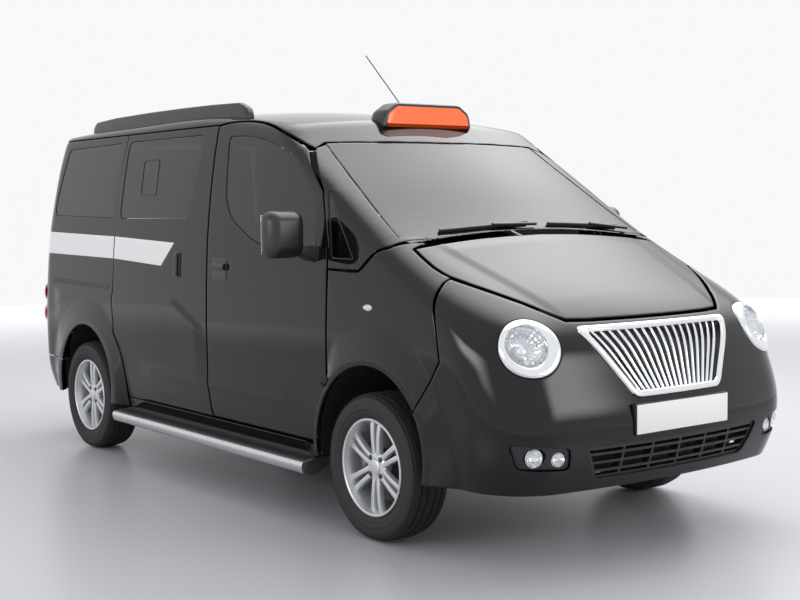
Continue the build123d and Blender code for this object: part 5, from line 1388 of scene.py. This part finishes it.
wire(floor_tree, (floor_place, "Object", floor_far, 0), (floor_far, "Value", floor_fade, "Value"),
     (floor_fade, "Result", floor_dark, "Factor"), (floor_dark, "Result", floor_shader, "Base Color"),
     (floor_fade, "Result", floor_glow, 0), (floor_glow, "Value", floor_shader, "Emission Strength"),
     (floor_fade, "Result", floor_gloss, 0), (floor_gloss, "Value", floor_shader, "Specular IOR Level"))
floor_mesh.materials.append(floor_paint)
studio_floor = bpy.data.objects.new("studio_floor", floor_mesh)
bpy.context.scene.collection.objects.link(studio_floor)
studio_air = bpy.data.worlds.new("studio_air")
studio_air.use_nodes = True
air_tree = studio_air.node_tree
air_shader = air_tree.nodes["Background"]
air_shader.inputs["Color"].default_value = BACKDROP
air_strength = added(air_tree, "ShaderNodeMapRange", To_Min=AIR_LIGHT, To_Max=1.0)
air_tree.links.new(seen_directly(air_tree), air_strength.inputs["Value"])
wire(air_tree, (air_strength, "Result", air_shader, "Strength"))
bpy.context.scene.world = studio_air


def soften(lamp_data):
    """Fade a lamp towards its edges, as the cloth of a softbox does."""
    lamp_data.use_nodes = True
    tree = lamp_data.node_tree
    spot, split = added(tree, "ShaderNodeNewGeometry"), added(tree, "ShaderNodeSeparateXYZ")
    both = added(tree, "ShaderNodeMath", "MULTIPLY")
    for k, axis in enumerate(("X", "Y")):
        away, size = added(tree, "ShaderNodeMath", "SUBTRACT"), added(tree, "ShaderNodeMath", "ABSOLUTE")
        away.inputs[1].default_value = 0.5
        fade = added(tree, "ShaderNodeMapRange", From_Min=0.12, From_Max=0.5, To_Min=2.0, To_Max=0.0)
        fade.interpolation_type = "SMOOTHSTEP"
        wire(tree, (split, axis, away, 0), (away, "Value", size, 0), (size, "Value", fade, "Value"),
             (fade, "Result", both, k))
    wire(tree, (spot, "Parametric", split, "Vector"), (both, "Value", tree.nodes["Emission"], "Strength"))


SOFTBOXES = (("lamp_overhead", (-0.4, 2.4, 5.4), (0.2, 0.4, 0.6), 10.0, 9.5, 250),
             ("lamp_front", (6.5, 1.5, 2.6), (1.0, 0.0, 0.7), 4.0, 3.2, 50),
             ("lamp_right", (0.5, -7.0, 2.4), (0.0, 0.0, 0.8), 7.0, 1.8, 60))
for name, at, aim, width, height, watts in SOFTBOXES:
    lamp_data = bpy.data.lights.new(name, "AREA")
    lamp_data.shape = "RECTANGLE"
    lamp_data.size, lamp_data.size_y, lamp_data.energy = width, height, watts
    soften(lamp_data)
    lamp = bpy.data.objects.new(name, lamp_data)
    lamp.location = at
    lamp.rotation_euler = (Vector(aim) - Vector(at)).to_track_quat("-Z", "Y").to_euler()
    bpy.context.scene.collection.objects.link(lamp)
CAMERA_AT = Vector((5.5589, -3.9056, 1.3593))
CAMERA_YAW, CAMERA_PITCH, CAMERA_ROLL = math.radians(142.822), math.radians(-4.135), math.radians(-0.606)
ahead = Vector((math.cos(CAMERA_PITCH) * math.cos(CAMERA_YAW), math.cos(CAMERA_PITCH) * math.sin(CAMERA_YAW),
                math.sin(CAMERA_PITCH)))
right = ahead.cross(Vector((0, 0, 1))).normalized()
up = right.cross(ahead)
rolled_right = math.cos(CAMERA_ROLL) * right + math.sin(CAMERA_ROLL) * up
rolled_up = -math.sin(CAMERA_ROLL) * right + math.cos(CAMERA_ROLL) * up
camera_data = bpy.data.cameras.new("photo_camera")
camera_data.lens = 59.26
camera_data.sensor_width = 36.0
camera = bpy.data.objects.new("photo_camera", camera_data)
camera.matrix_world = Matrix((
    (rolled_right.x, rolled_up.x, -ahead.x, CAMERA_AT.x),
    (rolled_right.y, rolled_up.y, -ahead.y, CAMERA_AT.y),
    (rolled_right.z, rolled_up.z, -ahead.z, CAMERA_AT.z),
    (0, 0, 0, 1)))
bpy.context.scene.collection.objects.link(camera)
bpy.context.scene.camera = camera
bpy.context.scene.view_settings.view_transform = "Standard"
